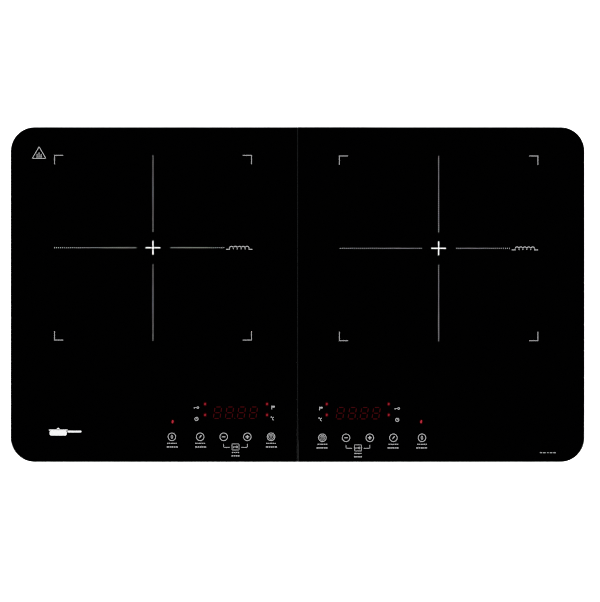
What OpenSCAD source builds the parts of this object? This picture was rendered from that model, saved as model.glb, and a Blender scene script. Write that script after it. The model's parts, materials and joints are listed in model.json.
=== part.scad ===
// Free-standing induction cooktop with two cooking zones, in millimetres.
// +X is the user's right, +Y the back and +Z up. The origin is under the middle of the
// cooktop, on the surface that its rubber feet stand on.

/* [Body] */
// Overall width, across both glass panels
body_w = 600; // [500:10:760]
// Overall depth, front edge to back edge of the glass
body_d = 350; // [290:5:440]
// Overall height, feet to glass top
body_h = 64; // [54:1:90]
// Corner radius of the glass, seen from above
corner_r = 25; // [24:1:34]
// Height of the rubber feet below the housing
foot_h = 8; // [5:1:14]
// Radius of a rubber foot
foot_r = 11; // [8:0.5:14]

/* [Glass] */
// Thickness of the glass panels
glass_t = 4; // [3:0.5:6]
// Joint between the two glass panels
glass_gap = 1; // [0.6:0.1:2]
// Ground arris along every glass edge
glass_arris = 0.6; // [0.3:0.1:1.2]
// Thickness of the adhesive bead under the glass
bead_t = 0.6; // [0.4:0.1:1.2]

/* [Housing] */
// Distance that the top frame stands in from the glass edge
frame_inset = 2; // [1:0.5:4]
// Distance that the bottom tray's rim stands in from the glass edge
tray_inset = 5; // [4:0.5:8]
// Distance that the tray wall leans in towards the floor
tray_lean = 3; // [1:0.5:4]
// Radius along the tray's bottom edge
base_round = 5; // [3:0.5:6]
// Wall thickness of the housing
wall_t = 2.5; // [2:0.1:3.5]
// Height of the top frame's outer skirt
skirt_h = 10.4; // [8:0.2:14]
// Width of the rim that carries the glass
ledge_w = 18.5; // [18:0.5:24]
// Thickness of the rim that carries the glass
ledge_t = 3; // [2.5:0.25:4]
// Width of the rib under the joint between the glass panels
rib_w = 24; // [22:1:30]
// Length of the bosses for the housing screws
boss_len = 14; // [10:1:16]

/* [Ventilation] */
// Width of a wall slot
slot_w = 3.5; // [2.5:0.25:5]
// Height of a wall slot
slot_h = 18; // [10:1:22]
// Pitch of the wall slots
slot_pitch = 9; // [7:0.5:12]
// Slots in each side wall
side_slots = 13; // [5:2:15]
// Slots in each half of the back wall
back_slots = 13; // [5:2:15]
// Pitch of the slots in the floor under a fan
grille_pitch = 7; // [6:0.5:9]

/* [Cooking zones] */
// Distance from the back edge of the glass to the coil winding
coil_back = 38; // [36:0.5:60]
// Outer radius of the coil winding
coil_r = 88.5; // [70:0.5:107]
// Inner radius of the coil winding
coil_bore = 22.5; // [20:0.5:30]
// Diameter of the stranded coil wire
wire_d = 3; // [2:0.5:3.5]
// Thickness of the coil carrier's disc
carrier_t = 3; // [2:0.5:4]
// Width of a ferrite bar
ferrite_w = 12; // [8:1:13]
// Height of a ferrite bar
ferrite_t = 5; // [4:0.5:6]
// Thickness of the aluminium shelf under the coil
shelf_t = 1; // [0.8:0.1:1.5]

/* [Fans] */
// Side of the square fan frame
fan_size = 80; // [66:1:96]
// Thickness of the fan
fan_t = 20; // [18:1:22]
// Number of fan blades
fan_blades = 7; // [5:1:9]
// Outer radius of the fan hub
hub_r = 17; // [16.5:0.5:19]
// Radius of the fan shaft
shaft_r = 1.5; // [1:0.25:2]
// Radial running clearance between shaft and bearing
running_gap = 0.04; // [0.02:0.01:0.08]

/* [Electronics] */
// Width of a power board
board_w = 120; // [110:1:144]
// Depth of a power board
board_d = 150; // [140:1:180]
// Thickness of every circuit board
board_t = 1.6; // [1:0.2:2]
// Gap between the tray floor and a power board
board_lift = 6; // [5:0.5:8]
// Depth of a control board
control_d = 57; // [55:1:60]
// Height of a four-digit display module
display_h = 8; // [6:0.5:8]

/* [Mains inlet] */
// Radius of the cord's way through the gland
gland_bore = 4.3; // [3:0.1:5]
// Height of the gland's axis above the tray floor
gland_lift = 16; // [15:0.5:20]

/* [Hidden] */
$fn = 96;

LEFT = -1;
RIGHT = 1;
SIDES = [LEFT, RIGHT];

// Small clearances
fit_gap = 0.2;       // between housing parts that slide together
thread_gap = 0.05;   // radial, between a screw and its hole
cut = 1;             // how far a cutting shape runs past the surface that it cuts

// Corner centres of the rounded outline, which every housing part shares
corner_x = body_w / 2 - corner_r;
corner_y = body_d / 2 - corner_r;

// Heights, worked down from the glass
glass_z = body_h - glass_t;
frame_z = glass_z - bead_t;
ledge_z = frame_z - ledge_t;
rim_z = frame_z - skirt_h;
boss_z = ledge_z - boss_len;
mica_t = 0.5;
coil_gap = 0.5;
coil_z = glass_z - mica_t - coil_gap - wire_d;
carrier_z = coil_z - carrier_t;
ferrite_z = carrier_z - ferrite_t;
shelf_z = ferrite_z - shelf_t;
display_gap = 0.8;
control_top = glass_z - display_gap - display_h;
control_z = control_top - board_t;

// Heights, worked up from the feet
floor_t = 2.5;
floor_z = foot_h + floor_t;
board_z = floor_z + board_lift;
board_top = board_z + board_t;
fan_z = floor_z;
fan_top = fan_z + fan_t;

// Outlines, as distances out from the corner centres
frame_out = corner_r - frame_inset;
tray_out = corner_r - tray_inset;
tray_low = tray_out - tray_lean;
ledge_in = frame_out - ledge_w;
lip_out = tray_out - wall_t - 1 - fit_gap;
lip_in = lip_out - 2;
lip_h = 4;
boss_line = ledge_in + 3;

// Places along X, from the middle outwards
corridor = 18;                     // half of the way between the two power boards
panel_x = (body_w + glass_gap) / 4;
board_x = corridor + board_w / 2;
fan_x = corridor + board_w + 6 + fan_size / 2;

// Places along Y
zone_y = body_d / 2 - coil_back - coil_r;
board_y = corner_y - board_d / 2;
fan_y = board_y;
ledge_front = -corner_y - ledge_in;
key_y = ledge_front + 4.8;
display_y = key_y + 25.6;
control_front = ledge_front - 8.5;
control_back = control_front + control_d;
rail_w = 7;
rail_back = control_back + 1;

// Touch keys and indicators, as distances from the middle along X
key_x = [27, 51.7, 76.5, 101.2, 130.9];
display_x = 64.2;
display_w = 50.3;
display_d = 19;
control_x = (key_x[0] + key_x[4]) / 2;
control_w = key_x[4] - key_x[0] + 20;
led_places = [
    [31.2, key_y + 35.1], [31.2, key_y + 23.7], [96, key_y + 35.1], [96, key_y + 23.7],
    [130, key_y + 16.7]
];

// Housing screws, as pan-head tapping screws driven up from below
housing_screw_r = 1.75;
housing_screw_len = 16;
housing_head_r = 3.5;
housing_head_h = 2.4;
boss_r = 3.6;
tube_r = 5.2;
seat_t = 4;
screw_line_x = corner_x + boss_line;
screw_line_y = corner_y + boss_line;
housing_screw_places = concat(
    [for (sx = SIDES, sy = [-1, 0, 1]) [sx * screw_line_x, sy * corner_y]],
    [for (sx = SIDES) [sx * (control_x + control_w / 2 + screw_line_x) / 2, -screw_line_y]],
    [for (sx = SIDES) [sx * panel_x, screw_line_y]],
    [[0, -screw_line_y], [0, control_back + 25], [0, corner_y - 80]]
);

// Inner screws, all alike: small pan-head tapping screws
inner_screw_r = 1.5;
inner_screw_len = 7;
inner_head_r = 2.75;
inner_head_h = 2;
pilot_r = inner_screw_r + thread_gap;

shelf_inner_x = 5;
shelf_outer_x = corner_x + boss_line - boss_r - 3;
shelf_front_y = zone_y - coil_r - 7;
shelf_back_y = corner_y - 4;
shelf_screws_y = [shelf_front_y + 12, shelf_back_y - 7];
shelf_screws = [
    for (x = [shelf_inner_x + 4.5, shelf_outer_x - 4.5], y = shelf_screws_y) [x, y]
];
carrier_screw_ring = coil_r - 22.5;
turns = floor((coil_r - coil_bore) / wire_d);
coil_out = coil_bore + turns * wire_d;
ferrite_in = coil_bore + 8;
ferrite_len = coil_r - 2 - ferrite_in;
lead_r = 1.4;
lead_ring = coil_bore - 5.5;       // the inner lead goes down here, in front of the middle
notch_x = -8;                      // and the outer lead goes down here, towards the corridor
notch_y = -coil_out - lead_r - 0.4;
notch_r = 3;
board_screws = [
    for (dx = [-1, 1], dy = [-1, 1]) [board_x + dx * (board_w / 2 - 5), board_y + dy * (board_d / 2 - 5)]
];
fan_hole_pitch = fan_size - 8.5;
fan_screws = [
    for (dx = [-1, 1], dy = [-1, 1]) [fan_x + dx * fan_hole_pitch / 2, fan_y + dy * fan_hole_pitch / 2]
];
control_screws = [
    for (dx = [-1, 1]) for (y = [ledge_front - 4.5, control_back - 3.2])
        [control_x + dx * (control_w / 2 - 5), y]
];

// Feet
foot_sink = 1.2;
foot_places = concat(
    [for (sx = SIDES, sy = [-1, 1]) [sx * (corner_x - 14), sy * (corner_y - 12)]],
    [for (sy = [-1, 1]) [0, sy * (corner_y - 22)]]
);

// Mains inlet
gland_z = floor_z + gland_lift;
gland_hole_r = 8;
gland_flange_r = 11;
gland_flange_t = 2.5;
pad_r = 12;
pad_out = corner_y + tray_out - 0.5;
pad_in = pad_out - 6;
block_w = 30;
block_d = 20;
block_h = 14;
block_y = pad_in - 38;
block_foot = 4;
pole_pitch = 10;
block_ear = 9;
block_ears = [for (s = [-1, 1]) [s * pole_pitch / 2, block_y + s * (block_d + block_ear) / 2]];

// Wires inside the housing
wire_sides = 8;
wire_steps = 5;

housing_black = [0.06, 0.06, 0.065];
rubber_black = [0.09, 0.09, 0.09];

// ---------------------------------------------------------------- shared shapes

// Rounded rectangle, centred
module rounded_rect(w, d, r) {
    square([w - 2 * r, d], center = true);
    square([w, d - 2 * r], center = true);
    for (sx = SIDES, sy = [-1, 1])
        translate([sx * (w / 2 - r), sy * (d / 2 - r)]) circle(r);
}

// Slot with round ends, centred, standing along Y
module slot_shape(w, h) {
    square([w, h - w], center = true);
    for (s = [-1, 1]) translate([0, s * (h - w) / 2]) circle(w / 2);
}

// Sweeps a profile round the shared outline. The profile's X is the distance out from the
// corner centres and its Y is the height.
module sweep_outline() {
    for (turn = [0 : 3]) {
        across = turn % 2 == 0;
        run_x = across ? corner_x : corner_y;
        run_y = across ? corner_y : corner_x;
        rotate([0, 0, 90 * turn]) translate([run_x, run_y, 0]) {
            rotate_extrude(angle = 90) children();
            rotate([90, 0, 0]) linear_extrude(2 * run_y) children();
        }
    }
}

// Block that fills the space between the corner centres
module core_block(z, t) {
    translate([-corner_x, -corner_y, z]) cube([2 * corner_x, 2 * corner_y, t]);
}

// Everything on one side of the middle
module half_space(side, from) {
    size = body_w;
    translate([side > 0 ? from : -from - size, -size / 2, -size / 2]) cube([size, size, size]);
}

// Puts its children at each place, mirrored in place only, not in shape
module at_places(places, side) {
    for (p = places) translate([side * p[0], p[1], 0]) children();
}

// Moves its children to the middle of a cooking zone
module at_zone(side) {
    translate([side * panel_x, zone_y, 0]) children();
}

// Moves its children to the middle of a fan, at its lower face
module at_fan(side) {
    translate([side * fan_x, fan_y, fan_z]) children();
}

// Tapping screw with a pan head and a cross recess. The head's seat is at z = 0 and the
// shank goes up.
module screw(r, len, head_r, head_h) {
    difference() {
        union() {
            cylinder(r = r, h = len - r);
            translate([0, 0, len - r]) cylinder(r1 = r, r2 = r * 0.3, h = r, $fn = 24);
            translate([0, 0, -head_h * 0.6]) cylinder(r = head_r, h = head_h * 0.6);
            translate([0, 0, -head_h]) cylinder(r1 = head_r * 0.72, r2 = head_r, h = head_h * 0.4);
        }
        for (a = [0, 90]) rotate([0, 0, a])
            translate([-head_r * 0.55, -head_r * 0.1, -head_h - cut])
                cube([head_r * 1.1, head_r * 0.2, head_h * 0.6 + cut]);
    }
}

module inner_screw() {
    screw(inner_screw_r, inner_screw_len, inner_head_r, inner_head_h);
}

// Wire along smoothed points, as one tube
function unit(v) = v / norm(v);
function spline(a, b, c, d, t) =
    0.5 * (2 * b + (c - a) * t + (2 * a - 5 * b + 4 * c - d) * t * t
        + (3 * b - a - 3 * c + d) * t * t * t);
function smooth(p, n) = concat(
    [for (i = [0 : len(p) - 2], k = [0 : n - 1])
        spline(p[max(i - 1, 0)], p[i], p[i + 1], p[min(i + 2, len(p) - 1)], k / n)],
    [p[len(p) - 1]]);
function tangents(p) =
    [for (i = [0 : len(p) - 1]) unit(p[min(i + 1, len(p) - 1)] - p[max(i - 1, 0)])];
function carried(n, t) = unit(n - (n * t) * t);
function normals(t, n, done = []) =
    len(done) == len(t) ? done
    : let (m = carried(n, t[len(done)])) normals(t, m, concat(done, [m]));

module wire(points, r) {
    line = smooth(points, wire_steps);
    along = tangents(line);
    out = normals(along, abs(along[0][2]) > 0.9 ? [1, 0, 0] : [0, 0, 1]);
    last = len(line) - 1;
    rings = [for (i = [0 : last]) let (b = cross(along[i], out[i]))
        for (k = [0 : wire_sides - 1])
            line[i] + r * (cos(360 * k / wire_sides) * out[i] + sin(360 * k / wire_sides) * b)];
    walls = [for (i = [0 : last - 1], k = [0 : wire_sides - 1])
        let (a = i * wire_sides, m = (k + 1) % wire_sides)
            [a + k, a + m, a + wire_sides + m, a + wire_sides + k]];
    ends = [
        [for (k = [wire_sides - 1 : -1 : 0]) k],
        [for (k = [0 : wire_sides - 1]) last * wire_sides + k]
    ];
    polyhedron(points = rings, faces = [for (f = concat(walls, ends)) [for (k = [len(f) - 1 : -1 : 0]) f[k]]]);
}

// ---------------------------------------------------------------- glass

// Edge of the glass slab, with an arris above and below
module glass_edge() {
    polygon([
        [0, glass_z], [corner_r - glass_arris, glass_z], [corner_r, glass_z + glass_arris],
        [corner_r, body_h - glass_arris], [corner_r - glass_arris, body_h], [0, body_h]
    ]);
}

module glass(side) {
    half_gap = glass_gap / 2;
    color([0.01, 0.01, 0.012]) difference() {
        intersection() {
            union() {
                core_block(glass_z, glass_t);
                sweep_outline() glass_edge();
            }
            half_space(side, half_gap);
        }
        for (z = [glass_z, body_h]) translate([side * half_gap, -body_d / 2 - cut, z])
            rotate([-90, 0, 0]) linear_extrude(body_d + 2 * cut)
                polygon([[-glass_arris, 0], [0, -glass_arris], [glass_arris, 0], [0, glass_arris]]);
    }
}

// Soft strip between the two panels, a little below their top
module centre_seal() {
    seal_drop = 0.9;
    seal_len = body_d - 2 * frame_inset;
    color([0.12, 0.13, 0.13]) translate([-glass_gap / 2, -seal_len / 2, frame_z])
        cube([glass_gap, seal_len, body_h - seal_drop - frame_z]);
}

// Silicone bead: a closed loop round each panel, on the rim and the rib
module glass_adhesive(side) {
    bead_in = ledge_in + 1.5;
    bead_out = frame_out - 2;
    rib_bead = rib_w / 2 - 4;
    color([0.2, 0.2, 0.21]) union() {
        intersection() {
            sweep_outline() translate([bead_in, frame_z]) square([bead_out - bead_in, bead_t]);
            half_space(side, 2);
        }
        translate([side > 0 ? 2 : -2 - rib_bead, -corner_y - bead_out, frame_z])
            cube([rib_bead, 2 * (corner_y + bead_out), bead_t]);
    }
}

// ---------------------------------------------------------------- housing

// Section of the tray's wall and of the floor's edge
module tray_section() {
    wall_low = foot_h + base_round;
    polygon([
        [tray_low - base_round, foot_h], [tray_low, wall_low], [tray_out, rim_z],
        [tray_out - wall_t, rim_z], [tray_low - wall_t, wall_low + wall_t],
        [tray_low - wall_t - 3, floor_z], [tray_low - base_round, floor_z]
    ]);
    intersection() {
        translate([tray_low - base_round, wall_low]) circle(base_round);
        translate([tray_low - base_round, foot_h]) square(base_round);
    }
    translate([0, foot_h]) square([tray_low - base_round, floor_t]);
}

module tray_posts() {
    tube_h = boss_z - floor_z;
    for (p = housing_screw_places)
        translate([p[0], p[1], foot_h]) cylinder(r = tube_r, h = tube_h + floor_t);
    for (side = SIDES) {
        at_places(board_screws, side) translate([0, 0, foot_h]) cylinder(r = 3.5, h = board_z - foot_h);
        at_places(fan_screws, side) translate([0, 0, foot_h]) cylinder(r = 2.2, h = fan_top - 1 - foot_h);
    }
    translate([-block_w / 2, block_y - block_d / 2 - block_ear, foot_h])
        cube([block_w, block_d + 2 * block_ear, floor_t + block_foot]);
    for (x = [-1, 1]) translate([x * (corridor - 2) - 0.75, -corner_y + 60, foot_h])
        cube([1.5, board_y - board_d / 2 + corner_y - 70, floor_t + 3]);
    for (y = [control_back + 8, control_back + 44])
        translate([-corner_x, y, foot_h]) cube([2 * corner_x, 1.5, floor_t + 3]);
}

// Pan-head screw's way up through the tray: counterbore, then a clearance hole in the seat
module housing_screw_way() {
    seat_z = boss_z - seat_t;
    translate([0, 0, foot_h - cut]) cylinder(r = housing_head_r + 0.4, h = seat_z - foot_h + cut);
    translate([0, 0, seat_z - cut]) cylinder(r = housing_screw_r + 0.35, h = seat_t + 2 * cut);
}

module floor_grille() {
    duct = fan_size / 2 - 3;
    rows = floor(duct / grille_pitch);
    difference() {
        intersection() {
            translate([0, 0, foot_h - cut]) cylinder(r = duct, h = floor_t + 2 * cut);
            for (k = [-rows : rows]) translate([0, k * grille_pitch, foot_h])
                cube([2 * duct, grille_pitch * 0.55, 4 * floor_t], center = true);
        }
        translate([0, 0, foot_h - 2 * cut]) cylinder(r = 7, h = floor_t + 4 * cut);
        for (a = [30, 90, 150]) rotate([0, 0, a])
            translate([0, 0, foot_h]) cube([2 * duct + 2, 3, 6 * floor_t], center = true);
    }
}

module wall_slots() {
    mid_z = foot_h + base_round + 2 + slot_h / 2;
    inside = tray_low - wall_t - 1;
    for (side = SIDES, k = [-(side_slots - 1) / 2 : (side_slots - 1) / 2])
        translate([side * (corner_x + inside), k * slot_pitch, mid_z])
            rotate([90, 0, side * 90]) linear_extrude(corner_r) slot_shape(slot_w, slot_h);
    for (side = SIDES, k = [-(back_slots - 1) / 2 : (back_slots - 1) / 2])
        translate([side * (board_x + 6) + k * slot_pitch, corner_y + inside, mid_z])
            rotate([-90, 0, 0]) linear_extrude(corner_r) slot_shape(slot_w, slot_h);
}

module bottom_tray() {
    color(housing_black) difference() {
        union() {
            core_block(foot_h, floor_t);
            sweep_outline() tray_section();
            tray_posts();
            translate([0, pad_in, gland_z]) rotate([-90, 0, 0]) cylinder(r = pad_r, h = pad_out - pad_in);
        }
        for (p = housing_screw_places) translate([p[0], p[1], 0]) housing_screw_way();
        for (p = foot_places) translate([p[0], p[1], foot_h - cut]) cylinder(r = foot_r + 0.1, h = foot_sink + cut);
        for (side = SIDES) {
            at_places(board_screws, side)
                translate([0, 0, board_z - inner_screw_len + 1]) cylinder(r = pilot_r, h = inner_screw_len);
            at_places(fan_screws, side)
                translate([0, 0, fan_top - inner_screw_len - 0.5]) cylinder(r = pilot_r, h = inner_screw_len);
            translate([side * fan_x, fan_y, 0]) floor_grille();
        }
        for (p = block_ears) translate([p[0], p[1], foot_h + 1.2])
            cylinder(r = pilot_r, h = floor_t + block_foot + cut);
        wall_slots();
        translate([0, pad_in - cut, gland_z]) rotate([-90, 0, 0])
            cylinder(r = gland_hole_r, h = pad_out - pad_in + 2 * cut);
    }
}

// Section of the top frame: skirt, rim that carries the glass, and lip inside the tray
module frame_section() {
    shadow_gap = 1;
    skirt_in = frame_out - wall_t;
    polygon([
        [ledge_in, frame_z], [frame_out - 0.8, frame_z], [frame_out, frame_z - 0.8],
        [frame_out, rim_z + shadow_gap], [skirt_in, rim_z + shadow_gap], [skirt_in, ledge_z],
        [lip_out, ledge_z], [lip_out, rim_z - lip_h], [lip_in, rim_z - lip_h],
        [lip_in, ledge_z], [ledge_in, ledge_z]
    ]);
}

module top_frame() {
    rail_z = ledge_z - 3;
    tab_x = shelf_outer_x - 8;
    color(housing_black) difference() {
        union() {
            sweep_outline() frame_section();
            translate([-rib_w / 2, -corner_y - ledge_in - 1, ledge_z])
                cube([rib_w, 2 * (corner_y + ledge_in + 1), ledge_t]);
            for (x = [-rib_w / 2, rib_w / 2 - 1.5]) translate([x, control_back + 2, rail_z])
                cube([1.5, corner_y + ledge_in - control_back - 1, 4]);
            for (side = SIDES) {
                translate([side > 0 ? rib_w / 2 - 1 : -corner_x - ledge_in - 1, rail_back - rail_w, ledge_z])
                    cube([corner_x + ledge_in + 2 - rib_w / 2, rail_w, ledge_t]);
                at_places(shelf_screws, side)
                    translate([0, 0, shelf_z + shelf_t]) cylinder(r = 3.5, h = frame_z - shelf_z - shelf_t);
                for (y = shelf_screws_y)
                    translate([side > 0 ? tab_x : -corner_x - ledge_in - 2, y - 4, ledge_z])
                        cube([corner_x + ledge_in + 2 - tab_x, 8, ledge_t]);
                at_places(control_screws, side)
                    translate([0, 0, control_top]) cylinder(r = 2.8, h = frame_z - control_top);
            }
            for (p = housing_screw_places)
                translate([p[0], p[1], boss_z]) cylinder(r = boss_r, h = frame_z - boss_z);
        }
        for (p = housing_screw_places) translate([p[0], p[1], boss_z - cut])
            cylinder(r = housing_screw_r + thread_gap, h = housing_screw_len - seat_t + 0.5 + cut);
        translate([0, corner_y + lip_in - cut, gland_z]) rotate([-90, 0, 0])
            cylinder(r = pad_r + 0.5, h = lip_out - lip_in + 2 * cut);
        for (side = SIDES) {
            at_places(shelf_screws, side) translate([0, 0, shelf_z])
                cylinder(r = pilot_r, h = inner_screw_len + 0.5);
            at_places(control_screws, side) translate([0, 0, control_z])
                cylinder(r = pilot_r, h = inner_screw_len + 0.3);
        }
    }
}

// Six rubber feet, each with a rounded lower edge, pressed into a round recess
module rubber_feet() {
    round_r = 2;
    color(rubber_black) for (p = foot_places) translate([p[0], p[1], 0]) rotate_extrude() {
        square([foot_r - round_r, foot_h + foot_sink]);
        translate([0, round_r]) square([foot_r, foot_h + foot_sink - round_r]);
        intersection() {
            translate([foot_r - round_r, round_r]) circle(round_r, $fn = 48);
            square([foot_r, round_r + 0.1]);
        }
    }
}

module housing_screws() {
    color([0.55, 0.55, 0.57]) for (p = housing_screw_places) translate([p[0], p[1], boss_z - seat_t])
        screw(housing_screw_r, housing_screw_len, housing_head_r, housing_head_h);
}

// All the small screws: shelf, coil, control board, power board, fan and terminal block
module inner_screws() {
    color([0.7, 0.7, 0.72]) {
        for (side = SIDES) {
            at_places(shelf_screws, side) translate([0, 0, shelf_z]) inner_screw();
            at_zone(side) for (a = [45 : 90 : 315]) rotate([0, 0, a])
                translate([carrier_screw_ring, 0, shelf_z]) inner_screw();
            at_places(control_screws, side) translate([0, 0, control_z]) inner_screw();
            at_places(board_screws, side) translate([0, 0, board_top]) rotate([180, 0, 0]) inner_screw();
            at_places(fan_screws, side) translate([0, 0, fan_top]) rotate([180, 0, 0]) inner_screw();
        }
        for (p = block_ears) translate([p[0], p[1], floor_z + block_foot + 3])
            rotate([180, 0, 0]) inner_screw();
    }
}

// Blank foil plate stuck under the floor
module rating_plate() {
    color([0.75, 0.75, 0.76]) translate([0, -10, foot_h - 0.2])
        linear_extrude(0.2) rounded_rect(90, 45, 3);
}

// ---------------------------------------------------------------- mains inlet

// Bush in the back wall. Its bore is the cord's way in.
module cord_gland() {
    color(rubber_black) translate([0, 0, gland_z]) difference() {
        union() {
            translate([0, pad_in - gland_flange_t, 0]) rotate([-90, 0, 0])
                cylinder(r = gland_flange_r - 1, h = gland_flange_t);
            translate([0, pad_in, 0]) rotate([-90, 0, 0])
                cylinder(r = gland_hole_r - thread_gap, h = pad_out - pad_in);
            translate([0, pad_out, 0]) rotate([-90, 0, 0])
                cylinder(r = gland_flange_r, h = gland_flange_t);
        }
        translate([0, pad_in - gland_flange_t - cut, 0]) rotate([-90, 0, 0])
            cylinder(r = gland_bore, h = pad_out - pad_in + 2 * (gland_flange_t + cut));
    }
}

// Three-pole block with wire entries front and back, and a brass screw over each pole
module terminal_block() {
    entry_z = block_h * 0.45;
    translate([0, block_y, floor_z + block_foot]) {
        color([0.85, 0.85, 0.8]) difference() {
            union() {
                translate([-block_w / 2, -block_d / 2, 0]) cube([block_w, block_d, block_h]);
                for (p = block_ears) translate([p[0], p[1] - block_y, 0])
                    translate([-4, -block_ear / 2 - 0.5, 0]) cube([8, block_ear + 1, 3]);
            }
            for (k = [-1 : 1]) {
                translate([k * pole_pitch, block_d / 2 + cut, entry_z]) rotate([90, 0, 0])
                    cylinder(r = 2.6, h = block_d + 2 * cut);
                translate([k * pole_pitch, 0, entry_z]) cylinder(r = 3, h = block_h);
            }
            for (p = block_ears) translate([p[0], p[1] - block_y, -cut])
                cylinder(r = inner_screw_r + 0.3, h = 3 + 2 * cut);
        }
        color([0.75, 0.6, 0.3]) for (k = [-1 : 1]) translate([k * pole_pitch, 0, block_h * 0.65]) difference() {
            cylinder(r = 2.7, h = 3.5);
            translate([-3, -0.4, 2.6]) cube([6, 0.8, 2]);
        }
    }
}

// Live and neutral wires from the terminal block to each power board
module mains_harness() {
    entry_z = floor_z + block_foot + block_h * 0.45;
    front = block_y - block_d / 2;
    for (side = SIDES, k = [0, 1]) color(k == 0 ? [0.35, 0.2, 0.1] : [0.1, 0.2, 0.6]) {
        x = k == 0 ? pole_pitch : 1.4;
        y = front - 24 - 12 * k;
        wire([
            [side * x, front + 6, entry_z], [side * x, front - 6, entry_z],
            [side * (x + 1.5), front - 15 - 8 * k, entry_z + 4], [side * (corridor + 2), y, board_top + 11],
            [side * (corridor + 9), y, board_top + 7], [side * (corridor + 9), y, board_top + 1]
        ], 1.1);
        translate([side * (corridor + 9), y, board_top]) cylinder(r = 1.8, h = 3);
    }
}

// ---------------------------------------------------------------- cooking zones

// Insulating disc between coil and glass
module mica_sheet(side) {
    color([0.75, 0.68, 0.5]) at_zone(side) translate([0, 0, glass_z - mica_t]) difference() {
        cylinder(r = coil_r + 6, h = mica_t);
        translate([0, 0, -cut]) cylinder(r = 9.8, h = mica_t + 2 * cut);
    }
}

// Flat coil: one turned ring with a rounded ridge for every turn of wire
module coil_winding(side) {
    color([0.72, 0.42, 0.2]) at_zone(side) translate([0, 0, coil_z]) rotate_extrude() {
        translate([coil_bore, 0]) square([turns * wire_d, wire_d * 0.75]);
        intersection() {
            for (k = [0 : turns - 1]) translate([coil_bore + (k + 0.5) * wire_d, wire_d / 2])
                circle(wire_d / 2, $fn = 24);
            translate([coil_bore, 0]) square([turns * wire_d, wire_d]);
        }
    }
}

// Spider that holds the winding, with pockets for the ferrite bars and four screw bosses
module coil_carrier(side) {
    pocket_wall = 1.2;
    spoke_w = ferrite_w + 2 * pocket_wall + 2 * fit_gap;
    color([0.85, 0.83, 0.78]) at_zone(side) difference() {
        union() {
            translate([0, 0, carrier_z]) cylinder(r = coil_r + 3, h = carrier_t);
            translate([0, 0, ferrite_z + 1]) cylinder(r = 12, h = ferrite_t + carrier_t - 1);
            for (a = [22.5 : 45 : 337.5]) rotate([0, 0, a])
                translate([ferrite_in - pocket_wall, -spoke_w / 2, ferrite_z + 1])
                    cube([ferrite_len + 2 * pocket_wall + fit_gap, spoke_w, ferrite_t - 1 + cut / 2]);
            for (a = [45 : 90 : 315]) rotate([0, 0, a]) translate([carrier_screw_ring, 0, ferrite_z])
                cylinder(r = 4.5, h = ferrite_t + carrier_t);
        }
        for (a = [22.5 : 45 : 337.5]) rotate([0, 0, a])
            translate([ferrite_in - fit_gap / 2, -ferrite_w / 2 - fit_gap / 2, ferrite_z - cut])
                cube([ferrite_len + fit_gap, ferrite_w + fit_gap, ferrite_t + cut]);
        for (a = [0 : 45 : 315]) rotate([0, 0, a])
            translate([coil_bore + 9.5, 0, carrier_z - cut]) cylinder(r = 4, h = carrier_t + 2 * cut);
        for (a = [45 : 90 : 315]) rotate([0, 0, a]) translate([carrier_screw_ring, 0, ferrite_z - cut])
            cylinder(r = pilot_r, h = inner_screw_len + cut);
        translate([0, 0, ferrite_z - cut]) cylinder(r = 8.2, h = ferrite_t + carrier_t + 2 * cut);
        translate([0, -lead_ring, ferrite_z]) cylinder(r = 3.9, h = ferrite_t + carrier_t + cut);
        translate([side * notch_x, notch_y, ferrite_z]) {
            cylinder(r = notch_r, h = ferrite_t + carrier_t + cut);
            translate([-notch_r, -3 * notch_r, 0]) cube([2 * notch_r, 3 * notch_r, ferrite_t + carrier_t + cut]);
        }
    }
}

module ferrite_bars(side) {
    color([0.2, 0.2, 0.22]) at_zone(side) for (a = [22.5 : 45 : 337.5]) rotate([0, 0, a])
        translate([ferrite_in, -ferrite_w / 2, ferrite_z])
            cube([ferrite_len, ferrite_w, ferrite_t]);
}

// Silicone cup with a temperature bead pressed up against the glass
module pan_sensor(side) {
    color([0.9, 0.9, 0.88]) at_zone(side) {
        translate([0, 0, carrier_z]) difference() {
            union() {
                cylinder(r = 8, h = coil_z - carrier_z);
                translate([0, 0, coil_z - carrier_z]) cylinder(r = 9.4, h = 1.6);
            }
            translate([0, 0, -cut]) cylinder(r = 5, h = coil_z - carrier_z + cut);
        }
        translate([0, 0, coil_z + 1.6]) cylinder(r = 4, h = glass_z - coil_z - 1.6);
    }
}

// Two sleeved leads: from the coil's inner and outer ends down to the power board
module coil_leads(side) {
    zx = side * panel_x;
    post_x = side * (corridor + board_w - 26);
    post_y = board_y - board_d / 2 + 14;
    low_z = shelf_z - 9;
    start_z = glass_z - 2.2;
    inner_y = zone_y - lead_ring;
    notch = [zx + side * notch_x, zone_y + notch_y];
    color([0.85, 0.8, 0.7]) {
        wire([
            [zx, zone_y - coil_bore + 0.25, start_z], [zx, zone_y - coil_bore + 2.5, start_z - 0.2],
            [zx, inner_y, ferrite_z + 4], [zx, inner_y, shelf_z], [zx, inner_y - 2, low_z],
            [(zx + post_x) / 2, (zone_y + post_y) / 2 - 8, low_z - 2],
            [post_x, post_y + 4, low_z - 3], [post_x, post_y, board_top + 8], [post_x, post_y, board_top + 1]
        ], lead_r);
        wire([
            [notch[0] + side * 11, notch[1] + 0.2, start_z], [notch[0] + side * 3, notch[1], start_z - 0.2],
            [notch[0], notch[1], ferrite_z + 4], [notch[0], notch[1] + 0.3, shelf_z],
            [notch[0] - side * 2, notch[1] + 5, low_z - 1], [post_x + side * 9, post_y - 14, low_z - 5],
            [post_x + side * 9, post_y - 1, board_top + 9], [post_x + side * 9, post_y, board_top + 1]
        ], lead_r);
        for (k = [0, 9]) translate([post_x + side * k, post_y, board_top]) cylinder(r = 2.2, h = 4);
    }
}

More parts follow.
